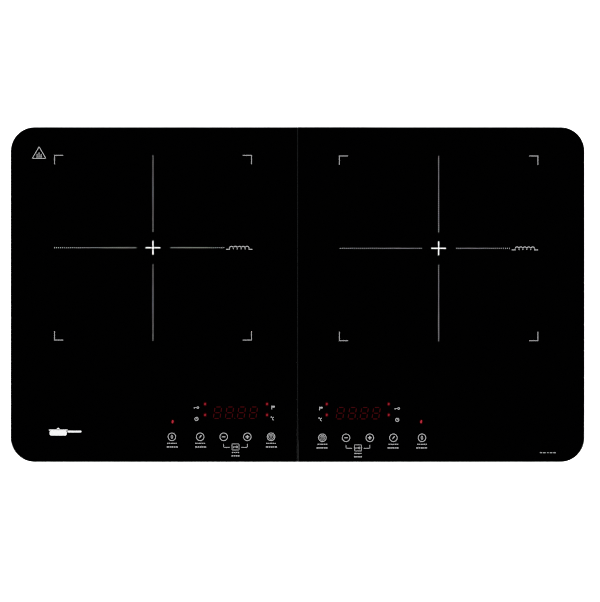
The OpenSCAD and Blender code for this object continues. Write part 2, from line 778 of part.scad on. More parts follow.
// Aluminium shelf: carries the coil, shields the electronics and hangs from the top frame
module coil_shelf(side) {
    x0 = shelf_inner_x;
    x1 = shelf_outer_x;
    fold = 4;
    rim_x0 = x0 + 12;
    rim_x1 = x1 - 12;
    color([0.78, 0.79, 0.8]) difference() {
        translate([side > 0 ? 0 : -(x0 + x1), 0, 0]) union() {
            translate([x0, shelf_front_y, shelf_z])
                cube([x1 - x0, shelf_back_y - shelf_front_y, shelf_t]);
            for (y = [shelf_front_y, shelf_back_y - shelf_t])
                translate([rim_x0, y, shelf_z - fold]) cube([rim_x1 - rim_x0, shelf_t, fold + shelf_t / 2]);
        }
        at_places(shelf_screws, side) translate([0, 0, shelf_z - cut])
            cylinder(r = inner_screw_r + 0.3, h = shelf_t + 2 * cut);
        at_zone(side) {
            for (a = [45 : 90 : 315]) rotate([0, 0, a]) translate([carrier_screw_ring, 0, shelf_z - cut])
                cylinder(r = inner_screw_r + 0.3, h = shelf_t + 2 * cut);
            translate([0, 0, shelf_z - cut]) cylinder(r = 11, h = shelf_t + 2 * cut);
            translate([0, -lead_ring, shelf_z - cut]) cylinder(r = 4.5, h = shelf_t + 2 * cut);
            translate([side * notch_x, notch_y, shelf_z - cut]) cylinder(r = notch_r, h = shelf_t + 2 * cut);
            for (a = [0 : 45 : 315]) rotate([0, 0, a]) translate([(coil_bore + coil_r) / 2 - 11.5, 0, shelf_z - cut])
                cylinder(r = 6, h = shelf_t + 2 * cut);
        }
    }
}

// ---------------------------------------------------------------- power electronics

// Bare board with its four screw holes
module board_blank(x, y, w, d, z, places, side) {
    difference() {
        translate([side * x, y, z]) linear_extrude(board_t) rounded_rect(w, d, 2);
        at_places(places, side) translate([0, 0, z - cut])
            cylinder(r = inner_screw_r + 0.3, h = board_t + 2 * cut);
    }
}

// Moves its children onto the power board, with X and Y from the board's middle. X runs
// outwards on both sides.
module on_board(side, x, y) {
    translate([side * (board_x + x), board_y + y, board_top]) children();
}

module power_board(side) {
    color([0.75, 0.65, 0.35]) board_blank(board_x, board_y, board_w, board_d, board_z, board_screws, side);
}

sink_w = 60;
sink_len = board_d - 74;
sink_base = 5;
sink_x = board_w / 2 - sink_w / 2 - 2;
sink_y = 12;
sink_air = 3;

// Finned aluminium block with a flat foot along its inner side for the power devices
module heatsink(side) {
    fins = 8;
    fin_t = 2;
    foot_w = 20;
    fin_h = shelf_z - 4 - sink_air - board_top;
    span = sink_w - foot_w - fin_t;
    color([0.72, 0.73, 0.75]) on_board(side, sink_x, sink_y)
        translate([0, sink_len / 2, 0]) rotate([90, 0, 0]) linear_extrude(sink_len) {
            translate([-sink_w / 2, 0]) square([sink_w, sink_base]);
            for (k = [0 : fins - 1])
                translate([side > 0 ? -sink_w / 2 + foot_w + k * span / (fins - 1)
                           : sink_w / 2 - foot_w - fin_t - k * span / (fins - 1), 0])
                    square([fin_t, fin_h]);
        }
}

// Switching transistor and bridge rectifier, flat on the heatsink's foot, legs to the board
module power_devices(side) {
    foot_x = sink_x - sink_w / 2 + 9.5;
    lie_z = sink_base;
    leg_x = sink_x - sink_w / 2 - 3;
    color([0.1, 0.1, 0.1]) {
        on_board(side, foot_x, sink_y + 18) translate([-8, -10, lie_z]) cube([16, 20, 5]);
        on_board(side, foot_x, sink_y - 18) translate([-8.5, -15, lie_z]) cube([17, 30, 4.6]);
    }
    color([0.75, 0.75, 0.76]) for (place = [[18, 5.4, 3], [-18, 7.5, 4]]) {
        count = place[2];
        for (k = [0 : count - 1]) on_board(side, leg_x, sink_y + place[0] + (k - (count - 1) / 2) * place[1]) {
            translate([-0.5, -0.6, 0]) cube([1, 1.2, lie_z + 2.6]);
            translate([side > 0 ? -0.5 : -4.5, -0.6, lie_z + 1.6]) cube([5, 1.2, 1]);
        }
    }
}

// Film capacitors as boxes and two electrolytic cans
module capacitors(side) {
    color([0.25, 0.35, 0.6]) {
        on_board(side, -38, 34) translate([-9, -16, 0]) cube([18, 32, 16]);
        on_board(side, -38, -6) translate([-7, -16, 0]) cube([14, 32, 15]);
    }
    color([0.8, 0.7, 0.2]) on_board(side, 14, -44) translate([-13, -5, 0]) cube([26, 10, 15]);
    color([0.1, 0.1, 0.12]) for (x = [38, 50]) on_board(side, x, -44) {
        cylinder(r = 5, h = 15);
        translate([0, 0, 15]) cylinder(r = 4.4, h = 0.6);
    }
}

// Toroid choke lying on a plastic base
module choke(side) {
    color([0.1, 0.25, 0.15]) on_board(side, -38, -46) cylinder(r = 15, h = 2);
    color([0.7, 0.35, 0.15]) on_board(side, -38, -46) translate([0, 0, 8.2]) rotate_extrude()
        translate([9.5, 0]) circle(5, $fn = 32);
}

// Small transformer: core halves round a wound bobbin
module transformer(side) {
    on_board(side, 14, -62) {
        color([0.15, 0.15, 0.16]) difference() {
            translate([-11, -7, 0]) cube([22, 14, 16]);
            translate([-8, -8, 3]) cube([16, 16, 10]);
        }
        color([0.85, 0.75, 0.3]) translate([-7.8, -8, 3.2]) cube([15.6, 16, 9.6]);
    }
}

// ---------------------------------------------------------------- fans

duct_r = fan_size / 2 - 2;
tip_gap = 1.2;
magnet_t = 2;
cup_t = 2;
mount_t = 2.5;
tube_out = 3.5;

// Square frame with a round duct, a motor mount on four struts, and the bearing tube
module fan_frame(side) {
    color([0.08, 0.08, 0.085]) at_fan(side) difference() {
        union() {
            difference() {
                linear_extrude(fan_t) rounded_rect(fan_size, fan_size, 4);
                translate([0, 0, -cut]) cylinder(r = duct_r, h = fan_t + 2 * cut);
            }
            translate([0, 0, fan_t - mount_t]) cylinder(r = hub_r, h = mount_t);
            for (a = [45 : 90 : 315]) rotate([0, 0, a])
                translate([hub_r - 1, -2, fan_t - mount_t]) cube([duct_r - hub_r + 3, 4, mount_t]);
            translate([0, 0, 6]) cylinder(r = tube_out, h = fan_t - 6 - mount_t / 2);
        }
        for (dx = [-1, 1], dy = [-1, 1]) translate([dx * fan_hole_pitch / 2, dy * fan_hole_pitch / 2, -cut])
            cylinder(r = 2.5, h = fan_t + 2 * cut);
        translate([0, 0, 6 - cut]) cylinder(r = shaft_r + running_gap, h = fan_t - mount_t - 6 + cut);
    }
}

// Wound iron core on the bearing tube
module fan_stator(side) {
    core_r = hub_r - cup_t - magnet_t - 1;
    color([0.6, 0.35, 0.15]) at_fan(side) translate([0, 0, 8]) difference() {
        union() {
            cylinder(r = 6, h = fan_t - mount_t - 9);
            for (a = [0 : 90 : 270]) rotate([0, 0, a]) intersection() {
                translate([0, -core_r * 0.55, 1]) cube([core_r, core_r * 1.1, fan_t - mount_t - 11]);
                cylinder(r = core_r, h = fan_t);
            }
        }
        translate([0, 0, -cut]) cylinder(r = tube_out + thread_gap, h = fan_t);
    }
}

// Hub cup and pitched, cambered blades
module fan_impeller(side) {
    blade_h = fan_t - mount_t - 4;
    camber_r = 26;
    blade_t = 1.4;
    color([0.12, 0.12, 0.125]) at_fan(side) difference() {
        union() {
            translate([0, 0, 2]) cylinder(r = hub_r, h = blade_h);
            intersection() {
                difference() {
                    translate([0, 0, 2.5]) cylinder(r = duct_r - tip_gap, h = blade_h - 1);
                    translate([0, 0, 1]) cylinder(r = hub_r - 1, h = fan_t);
                }
                for (k = [0 : fan_blades - 1]) rotate([38, 0, 360 * k / fan_blades])
                    translate([hub_r - 2, -camber_r, 10]) rotate([0, 90, 0]) difference() {
                        cylinder(r = camber_r + blade_t, h = duct_r);
                        translate([0, 0, -cut]) cylinder(r = camber_r, h = duct_r + 2 * cut);
                        translate([-2 * camber_r, -3 * camber_r, -2 * cut])
                            cube([4 * camber_r, 3 * camber_r, duct_r + 4 * cut]);
                    }
            }
        }
        translate([0, 0, 2 + cup_t]) cylinder(r = hub_r - cup_t, h = fan_t);
        translate([0, 0, 0]) cylinder(r = shaft_r, h = fan_t);
    }
}

module fan_shaft(side) {
    color([0.8, 0.8, 0.82]) at_fan(side) translate([0, 0, 2]) cylinder(r = shaft_r, h = fan_t - mount_t - 2.5);
}

// Ring magnet pressed into the hub cup
module fan_magnet(side) {
    color([0.3, 0.3, 0.32]) at_fan(side) translate([0, 0, 2 + cup_t + 0.5]) difference() {
        cylinder(r = hub_r - cup_t, h = fan_t - mount_t - 7);
        translate([0, 0, -cut]) cylinder(r = hub_r - cup_t - magnet_t, h = fan_t);
    }
}

// ---------------------------------------------------------------- controls

module control_board(side) {
    color([0.1, 0.35, 0.2]) board_blank(control_x, (control_front + control_back) / 2,
        control_w, control_d, control_z, control_screws, side);
}

// Four-digit display module, close under the glass
module display(side) {
    color([0.2, 0.2, 0.22]) translate([side * display_x - display_w / 2, display_y - display_d / 2, control_top])
        cube([display_w, display_d, display_h]);
}

module indicator_leds(side) {
    led_h = display_h - 2.2;
    color([0.8, 0.1, 0.1]) at_places(led_places, side) translate([0, 0, control_top]) {
        cylinder(r = 1.9, h = 1);
        cylinder(r = 1.5, h = led_h);
        translate([0, 0, led_h]) sphere(r = 1.5);
    }
}

// Sprung contact columns between the control board and the glass, one under each key
module touch_springs(side) {
    color([0.8, 0.78, 0.7]) at_places([for (x = key_x) [x, key_y]], side) translate([0, 0, control_top])
        difference() {
            cylinder(r = 3.4, h = glass_z - control_top);
            translate([0, 0, -cut]) cylinder(r = 2.6, h = glass_z - control_top + cut - 0.8);
        }
}

// Flat cable from the control board back to the power board, with a plug at each end
module ribbon_cable(side) {
    cable_w = 14;
    cable_t = 1;
    cable_x = side * (corridor + 24);
    plug_h = 5;
    start = [control_back - 12, control_z - plug_h];
    stop = [board_y - board_d / 2 + 7, board_top + plug_h];
    steps = 16;
    line = [for (k = [0 : steps]) let (t = k / steps, s = t * t * (3 - 2 * t))
        [start[0] + (stop[0] - start[0]) * s, start[1] + (stop[1] - start[1]) * t]];
    side_of = [for (k = [0 : steps]) let (d = line[min(k + 1, steps)] - line[max(k - 1, 0)])
        [-d[1], d[0]] / norm(d) * cable_t / 2];
    color([0.8, 0.8, 0.82]) {
        translate([cable_x - cable_w / 2, 0, 0]) rotate([90, 0, 90]) linear_extrude(cable_w)
            polygon(concat([for (k = [0 : steps]) line[k] + side_of[k]],
                [for (k = [steps : -1 : 0]) line[k] - side_of[k]]));
        translate([cable_x, start[0], start[1]]) translate([-cable_w / 2 - 1, -3, 0.2])
            cube([cable_w + 2, 6, plug_h - 0.2]);
        translate([cable_x, stop[0], board_top]) translate([-cable_w / 2 - 1, -3, 0])
            cube([cable_w + 2, 6, plug_h - 0.2]);
    }
}

// ---------------------------------------------------------------- nodes

bottom_tray();
top_frame();
centre_seal();
rubber_feet();
housing_screws();
inner_screws();
cord_gland();
terminal_block();
mains_harness();
rating_plate();

glass(LEFT);  // left_glass
glass_adhesive(LEFT);  // left_glass_adhesive
mica_sheet(LEFT);  // left_mica_sheet
coil_winding(LEFT);  // left_coil_winding
coil_carrier(LEFT);  // left_coil_carrier
ferrite_bars(LEFT);  // left_ferrite_bars
pan_sensor(LEFT);  // left_pan_sensor
coil_leads(LEFT);  // left_coil_leads
coil_shelf(LEFT);  // left_coil_shelf
power_board(LEFT);  // left_power_board
heatsink(LEFT);  // left_heatsink
power_devices(LEFT);  // left_power_devices
capacitors(LEFT);  // left_capacitors
choke(LEFT);  // left_choke
transformer(LEFT);  // left_transformer
fan_frame(LEFT);  // left_fan_frame
fan_stator(LEFT);  // left_fan_stator
fan_impeller(LEFT);  // left_fan_impeller
fan_shaft(LEFT);  // left_fan_shaft
fan_magnet(LEFT);  // left_fan_magnet
control_board(LEFT);  // left_control_board
display(LEFT);  // left_display
indicator_leds(LEFT);  // left_indicator_leds
touch_springs(LEFT);  // left_touch_springs
ribbon_cable(LEFT);  // left_ribbon_cable

glass(RIGHT);  // right_glass
glass_adhesive(RIGHT);  // right_glass_adhesive
mica_sheet(RIGHT);  // right_mica_sheet
coil_winding(RIGHT);  // right_coil_winding
coil_carrier(RIGHT);  // right_coil_carrier
ferrite_bars(RIGHT);  // right_ferrite_bars
pan_sensor(RIGHT);  // right_pan_sensor
coil_leads(RIGHT);  // right_coil_leads
coil_shelf(RIGHT);  // right_coil_shelf
power_board(RIGHT);  // right_power_board
heatsink(RIGHT);  // right_heatsink
power_devices(RIGHT);  // right_power_devices
capacitors(RIGHT);  // right_capacitors
choke(RIGHT);  // right_choke
transformer(RIGHT);  // right_transformer
fan_frame(RIGHT);  // right_fan_frame
fan_stator(RIGHT);  // right_fan_stator
fan_impeller(RIGHT);  // right_fan_impeller
fan_shaft(RIGHT);  // right_fan_shaft
fan_magnet(RIGHT);  // right_fan_magnet
control_board(RIGHT);  // right_control_board
display(RIGHT);  // right_display
indicator_leds(RIGHT);  // right_indicator_leds
touch_springs(RIGHT);  // right_touch_springs
ribbon_cable(RIGHT);  // right_ribbon_cable
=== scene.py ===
import json
import math

import bpy
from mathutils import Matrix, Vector

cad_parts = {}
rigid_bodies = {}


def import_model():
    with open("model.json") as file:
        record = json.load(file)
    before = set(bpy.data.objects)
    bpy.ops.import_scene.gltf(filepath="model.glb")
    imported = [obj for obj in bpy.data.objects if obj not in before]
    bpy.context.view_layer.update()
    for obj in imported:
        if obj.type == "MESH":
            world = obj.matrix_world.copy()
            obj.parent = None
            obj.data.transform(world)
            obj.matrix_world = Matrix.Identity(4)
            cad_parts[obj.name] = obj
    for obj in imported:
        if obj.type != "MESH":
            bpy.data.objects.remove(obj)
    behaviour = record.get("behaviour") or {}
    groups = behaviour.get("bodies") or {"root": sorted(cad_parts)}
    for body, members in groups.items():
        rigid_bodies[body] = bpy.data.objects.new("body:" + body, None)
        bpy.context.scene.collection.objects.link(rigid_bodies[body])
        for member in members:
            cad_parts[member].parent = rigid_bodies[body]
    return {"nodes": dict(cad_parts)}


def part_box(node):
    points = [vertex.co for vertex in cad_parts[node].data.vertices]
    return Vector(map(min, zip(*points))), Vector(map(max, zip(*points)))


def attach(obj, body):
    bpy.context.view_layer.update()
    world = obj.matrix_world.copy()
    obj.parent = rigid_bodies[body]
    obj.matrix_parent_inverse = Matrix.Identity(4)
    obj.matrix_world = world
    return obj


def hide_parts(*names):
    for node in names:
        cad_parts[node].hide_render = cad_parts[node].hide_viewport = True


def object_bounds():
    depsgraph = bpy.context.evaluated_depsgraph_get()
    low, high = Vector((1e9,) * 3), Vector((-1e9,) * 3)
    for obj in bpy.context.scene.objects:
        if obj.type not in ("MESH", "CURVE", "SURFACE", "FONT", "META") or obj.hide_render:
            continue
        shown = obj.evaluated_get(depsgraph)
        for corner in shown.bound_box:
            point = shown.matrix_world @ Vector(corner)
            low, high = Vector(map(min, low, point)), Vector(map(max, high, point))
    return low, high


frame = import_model()
nodes = frame["nodes"]
cad_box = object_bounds()

# ---------------------------------------------------------------- bottom tray
# The tray is one black ABS moulding with vent slots in its walls and a grille under each
# fan. Its mould was spark eroded, so it has a fine dull grain that catches some light.


class Sock:
    """A node's output in a material. Sums on it add Math nodes."""

    def __init__(self, tree, out=None):
        self.tree, self.out = tree, out

    def node(self, kind, sockets=None, out=0, **settings):
        """Adds a node: its settings first, then its sockets' values or links."""
        made = self.tree.nodes.new("ShaderNode" + kind)
        for key, value in settings.items():
            if key == "stops":
                ramp = made.color_ramp.elements
                while len(ramp) < len(value):
                    ramp.new(1.0)
                for stop, (place, colour) in zip(ramp, value):
                    stop.position, stop.color = place, (*colour, 1.0)
            else:
                setattr(made, key, value)
        for key, value in (sockets or {}).items():
            if isinstance(value, Sock):
                self.tree.links.new(value.out, made.inputs[key])
            else:
                made.inputs[key].default_value = value
        return Sock(self.tree, made.outputs[out])

    def math(self, operation, *values):
        return self.node("Math", dict(enumerate(values)), operation=operation)

    def blend(self, low, high):
        """Colour between two by this value. Each is three numbers or a colour's socket."""
        ends = [end if isinstance(end, Sock) else (*end, 1.0) for end in (low, high)]
        return self.node("Mix", {0: self, 6: ends[0], 7: ends[1]}, out=2, data_type="RGBA")

    def __abs__(self):
        return self.math("ABSOLUTE", self)

    def __add__(self, other):
        return self.math("ADD", self, other)

    def __sub__(self, other):
        return self.math("SUBTRACT", self, other)

    def __rsub__(self, other):
        return self.math("SUBTRACT", other, self)

    def __mul__(self, other):
        return self.math("MULTIPLY", self, other)

    def __gt__(self, other):
        return self.math("GREATER_THAN", self, other)

    __radd__, __rmul__ = __add__, __mul__


def new_material(name, constants):
    """A material with one Principled shader, and the wrapper that its nodes start from."""
    made = bpy.data.materials.new(name)
    made.use_nodes = True
    shader = made.node_tree.nodes["Principled BSDF"]
    for key, value in constants.items():
        shader.inputs[key].default_value = value
    return made, Sock(made.node_tree), shader


def feed(shader, **links):
    """Links values to a shader's sockets. An underscore stands for a space."""
    for key, value in links.items():
        value.tree.links.new(value.out, shader.inputs[key.replace("_", " ")])


def grained(name, dark, light, rough, size, depth, pattern="TexNoise", stretch=(1, 1, 1),
            **constants):
    """Patches between two colours, with a fine relief. Size and depth are in metres."""
    made, start, shader = new_material(name, constants)
    place = start.node("TexCoord", out="Object")
    scaled = start.node("Mapping", {"Vector": place, "Scale": stretch})
    patch = start.node("TexNoise", {"Vector": scaled, "Scale": 0.06 / size, "Detail": 4.0})
    fine = start.node(pattern, {"Vector": scaled, "Scale": 1.0 / size})
    feed(shader, Base_Color=(patch * 0.7 + fine * 0.3).blend(dark, light),
         Roughness=patch * (rough[1] - rough[0]) + rough[0],
         Normal=start.node("Bump", {"Height": fine, "Distance": depth, "Strength": 1.0}))
    return made


def dress(material, *names):
    """Gives CAD nodes their finished material."""
    for name in names:
        slots = nodes[name].data.materials
        slots.clear()
        slots.append(material)


black_abs = grained("black_abs", (0.007, 0.007, 0.0075), (0.013, 0.013, 0.0135), (0.42, 0.6),
                    0.00045, 0.00003)
dress(black_abs, "bottom_tray", "top_frame")

# ---------------------------------------------------------------- rubber feet
# Six moulded rubber feet are pressed into round seats in the tray's floor. Each has a
# rounded edge and a ring-grooved tread around a dished middle.


def fresh():
    """Deselects everything, in object mode."""
    if bpy.context.object and bpy.context.object.mode != "OBJECT":
        bpy.ops.object.mode_set(mode="OBJECT")
    bpy.ops.object.select_all(action="DESELECT")


def edit(made=None):
    """Opens an object for modelling, with nothing in it selected."""
    if made:
        fresh()
        made.select_set(True)
        bpy.context.view_layer.objects.active = made
    bpy.ops.object.mode_set(mode="EDIT")
    bpy.ops.mesh.select_all(action="DESELECT")


def pick(test, kind="FACE"):
    """Selects what passes a test on its middle and its normal, or on an edge's middle and run."""
    made = bpy.context.object
    bpy.ops.object.mode_set(mode="OBJECT")
    mesh = made.data
    for part in (*mesh.polygons, *mesh.edges, *mesh.vertices):
        part.select = False
    if kind == "FACE":
        chosen = [p for p in mesh.polygons if test(p.center, p.normal)]
    elif kind == "EDGE":
        ends = [(e, *(mesh.vertices[v].co for v in e.vertices)) for e in mesh.edges]
        chosen = [e for e, a, b in ends if test((a + b) / 2, b - a)]
    else:
        chosen = [v for v in mesh.vertices if test(v.co, v.normal)]
    for part in chosen:
        part.select = True
    bpy.ops.object.mode_set(mode="EDIT")
    bpy.ops.mesh.select_mode(type={"FACE": "FACE", "EDGE": "EDGE"}.get(kind, "VERT"))


def finish_piece(name, material, body, slot, *replaced, smooth=30.0):
    """Closes the open object: its place goes into its mesh, and it gets material and body."""
    made = bpy.context.object
    if made.mode != "OBJECT":
        bpy.ops.object.mode_set(mode="OBJECT")
    fresh()
    made.select_set(True)
    bpy.context.view_layer.objects.active = made
    bpy.ops.object.transform_apply(location=True, rotation=True, scale=True)
    if smooth:
        bpy.ops.object.shade_smooth_by_angle(angle=math.radians(smooth))
        bpy.ops.object.modifier_add(type="WEIGHTED_NORMAL")
        made.modifiers[-1].keep_sharp = True
        bpy.ops.object.modifier_apply(modifier=made.modifiers[-1].name)
    made.name = made.data.name = name
    made.data.materials.clear()
    made.data.materials.append(material)
    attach(made, body)
    if replaced:
        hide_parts(*replaced)
    return made


def join(pieces):
    """Joins pieces into the first, which is left active."""
    fresh()
    for piece in pieces:
        piece.select_set(True)
    bpy.context.view_layer.objects.active = pieces[0]
    bpy.ops.object.join()
    return pieces[0]


def copy_to(piece, offset):
    """A copy with its own mesh, moved by an offset."""
    fresh()
    piece.select_set(True)
    bpy.context.view_layer.objects.active = piece
    bpy.ops.object.duplicate()
    bpy.ops.transform.translate(value=offset)
    return bpy.context.object


foot_low, foot_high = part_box("rubber_feet")
foot_r, foot_top, middle_foot_y = 0.011, foot_high.z, 0.128
feet_x = (foot_low.x + foot_r, foot_high.x - foot_r)
feet_y = (foot_low.y + foot_r, foot_high.y - foot_r)
feet_at = [(x, y) for y in feet_y for x in feet_x] + [(0.0, -middle_foot_y), (0.0, middle_foot_y)]
groove_deep, groove_slope = 0.0007, 0.0002
fresh()
bpy.ops.mesh.primitive_cylinder_add(vertices=64, radius=foot_r, depth=foot_top,
                                    location=(*feet_at[0], foot_top / 2))
edit()
pick(lambda c, n: c.z < -foot_top * 0.49, "EDGE")
bpy.ops.mesh.bevel(offset=0.002, segments=5, affect="EDGES")
pick(lambda c, n: n.z < -0.9999)
for groove in range(3):
    bpy.ops.mesh.inset(thickness=0.0011)
    bpy.ops.mesh.inset(thickness=groove_slope, depth=-groove_deep)
    bpy.ops.mesh.inset(thickness=0.0008)
    bpy.ops.mesh.inset(thickness=groove_slope, depth=groove_deep)
bpy.ops.mesh.inset(thickness=0.0006)
bpy.ops.mesh.inset(thickness=0.0006, depth=-0.0012)
bpy.ops.object.mode_set(mode="OBJECT")
first = bpy.context.object
first_x, first_y = feet_at[0]
join([first] + [copy_to(first, (x - first_x, y - first_y, 0)) for x, y in feet_at[1:]])
foot_rubber = grained("foot_rubber", (0.012, 0.012, 0.012), (0.03, 0.03, 0.029), (0.6, 0.85),
                      0.0008, 0.00003)
finish_piece("treaded_feet", foot_rubber, "chassis", "foot_rubber", "rubber_feet")

# ---------------------------------------------------------------- rating plate
# A thin aluminium foil plate stuck under the floor, left blank, with a pressed border and
# raised lines that part it into fields.

MM = 0.001
plate_low, plate_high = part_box("rating_plate")
plate_mid = (plate_low + plate_high) / 2
border_deep, border_slope = 0.00008, 0.0003
fresh()
bpy.ops.mesh.primitive_cube_add(size=1, location=plate_mid, scale=plate_high - plate_low)
edit()
pick(lambda c, n: n.z < -0.9)
bpy.ops.mesh.inset(thickness=0.0018)
bpy.ops.mesh.inset(thickness=border_slope, depth=-border_deep)
bpy.ops.mesh.inset(thickness=0.0012)
bpy.ops.mesh.inset(thickness=border_slope, depth=border_deep)
bpy.ops.object.mode_set(mode="OBJECT")
plate = [bpy.context.object]
line_z, line_t = -0.06, 0.07
field_lines = ((0, 9, 78, 0.5), (0, -7, 78, 0.5), (-13, 1, 0.5, 15), (24, 1, 0.5, 15),
               (0, 1, 73, 0.35))     # middle and size of each, in mm
for x, y, w, h in field_lines:
    fresh()
    bpy.ops.mesh.primitive_cube_add(size=1, location=plate_mid + Vector((x, y, line_z)) * MM,
                                    scale=Vector((w, h, line_t)) * MM)
    edit()
    pick(lambda c, n: n.z < -0.9)
    bpy.ops.mesh.inset(thickness=0.0001, depth=0.00001)
    bpy.ops.object.mode_set(mode="OBJECT")
    plate.append(bpy.context.object)
join(plate)
plate_foil = grained("plate_foil", (0.42, 0.42, 0.43), (0.62, 0.62, 0.63), (0.28, 0.42),
                     0.0009, 0.000004, stretch=(0.05, 1, 1), Metallic=0.9)
finish_piece("blank_rating_plate", plate_foil, "chassis", "plate_foil", "rating_plate")

# ---------------------------------------------------------------- mains inlet
# The cord's bush is moulded rubber. Behind it, a cream polyamide block with brass screws
# feeds a live and a neutral wire to each power board.

gland_rubber = grained("gland_rubber", (0.01, 0.01, 0.01), (0.02, 0.02, 0.02), (0.5, 0.7),
                       0.0006, 0.00002)
dress(gland_rubber, "cord_gland")
cream_plastic = grained("cream_plastic", (0.5, 0.47, 0.38), (0.66, 0.63, 0.53), (0.35, 0.5),
                        0.0008, 0.00001)
dress(cream_plastic, "terminal_block")
brass = grained("brass", (0.5, 0.33, 0.1), (0.68, 0.48, 0.18), (0.2, 0.35), 0.0005, 0.000005,
                Metallic=1.0)
low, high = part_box("terminal_block")
block_y, screw_z, screw_pitch = (low.y + high.y) / 2, low.z + 0.0092, 0.01
screw_r, screw_h, slot_w, slot_deep = 0.0028, 0.0035, 0.001, 0.0009
fresh()
bpy.ops.mesh.primitive_cylinder_add(vertices=40, radius=screw_r, depth=screw_h,
                                    location=(0, block_y, screw_z + screw_h / 2))
edit()
pick(lambda c, n: n.z > 0.999)
bpy.ops.mesh.inset(thickness=0.0003, depth=0.0002)
for x in (-slot_w / 2, slot_w / 2):
    pick(lambda c, n: n.z > 0.999)
    bpy.ops.mesh.bisect(plane_co=(x, block_y, 0), plane_no=(1, 0, 0))
pick(lambda c, n: n.z > 0.999 and abs(c.x) < slot_w / 5)
bpy.ops.mesh.inset(thickness=0.00002, depth=-slot_deep)
bpy.ops.object.mode_set(mode="OBJECT")
first = bpy.context.object
join([first, copy_to(first, (screw_pitch, 0, 0)), copy_to(first, (-screw_pitch, 0, 0))])
finish_piece("terminal_screws", brass, "chassis", "cream_plastic")
wire_pvc, start, shader = new_material("wire_pvc", {"Roughness": 0.36})
place = start.node("TexCoord", out="Object")
# the live wire leaves the block's outer pole and stays behind the neutral one
across = abs(start.node("SeparateXYZ", {0: place}, out="X"))
along = start.node("SeparateXYZ", {0: place}, out="Y") - (block_y - 0.01)
live = (across > 0.005) * (along + across * 0.5 > -0.021)
sheen = start.node("TexNoise", {"Vector": place, "Scale": 60.0, "Detail": 3.0})
brown = sheen.blend((0.1, 0.038, 0.015), (0.15, 0.06, 0.025))
blue = sheen.blend((0.01, 0.05, 0.26), (0.02, 0.08, 0.36))
feed(shader, Base_Color=live.blend(blue, brown),
     Normal=start.node("Bump", {"Height": sheen, "Distance": 0.00002}))
dress(wire_pvc, "mains_harness")

# ---------------------------------------------------------------- power electronics
# Each zone has a brown single-sided power board with a finned heatsink for its transistor and
# its bridge, boxed film capacitors, two cans, a toroid choke and a transformer with a taped
# winding in a ferrite frame.

SIDES = {"left": -1, "right": 1}
NEAR = 0.0001     # places closer than this are taken as the same, in metres


def both(name):
    """The left and the right node of a name."""
    return [f"{side}_{name}" for side in SIDES]


def track_mask(start, place, scale, width):
    """Thin lines where a board's copper tracks show through its lacquer."""
    black, white = (0, 0, 0, 1), (1, 1, 1, 1)
    return start.node("TexBrick", {"Vector": place, "Scale": scale, "Mortar Size": width,
                                   "Color1": black, "Color2": black, "Mortar": white})


def block(middle, size):
    """Opens a plain block for modelling, with its place in its mesh."""
    fresh()
    bpy.ops.mesh.primitive_cube_add(size=1, location=middle, scale=size)
    bpy.ops.object.transform_apply(location=True, rotation=True, scale=True)
    edit()


board_paper, start, shader = new_material("board_paper", {"Roughness": 0.5})
place = start.node("TexCoord", out="Object")
pressed = start.node("Mapping", {"Vector": place, "Scale": (1, 0.15, 1)})
fibre = start.node("TexNoise", {"Vector": pressed, "Scale": 900.0, "Detail": 3.0})
tracks = track_mask(start, place, 60.0, 0.012)
paper = fibre.blend((0.23, 0.13, 0.05), (0.36, 0.22, 0.09))
feed(shader, Base_Color=(tracks * 0.45).blend(paper, (0.5, 0.34, 0.14)),
     Normal=start.node("Bump", {"Height": fibre + tracks * 0.8, "Distance": 0.00003}))
dress(board_paper, *both("power_board"))
sheet_aluminium = grained("sheet_aluminium", (0.48, 0.49, 0.5), (0.66, 0.67, 0.68), (0.25, 0.42),
                          0.0006, 0.000006, stretch=(1, 0.04, 1), Metallic=1.0)
dress(sheet_aluminium, *both("heatsink"), *both("coil_shelf"))
device_black = grained("device_black", (0.012, 0.012, 0.012), (0.028, 0.028, 0.03), (0.35, 0.55),
                       0.0007, 0.00001)
dress(device_black, *both("power_devices"))
capacitor_plastic = grained("capacitor_plastic", (0.42, 0.3, 0.03), (0.55, 0.42, 0.05),
                            (0.22, 0.35), 0.002, 0.00001)
can_sleeve = grained("can_sleeve", (0.012, 0.013, 0.018), (0.025, 0.027, 0.036), (0.25, 0.4),
                     0.0012, 0.000005)
film_boxes = ((-38, 34, 18, 32, 16), (-38, -6, 14, 32, 15), (14, -44, 26, 10, 15))     # in mm
can_r, can_h, can_x, can_y, can_pitch = 0.005, 0.0156, 0.038, -0.044, 0.012
band_z, band_half, band_pinch = 0.0028, 0.0006, 0.93
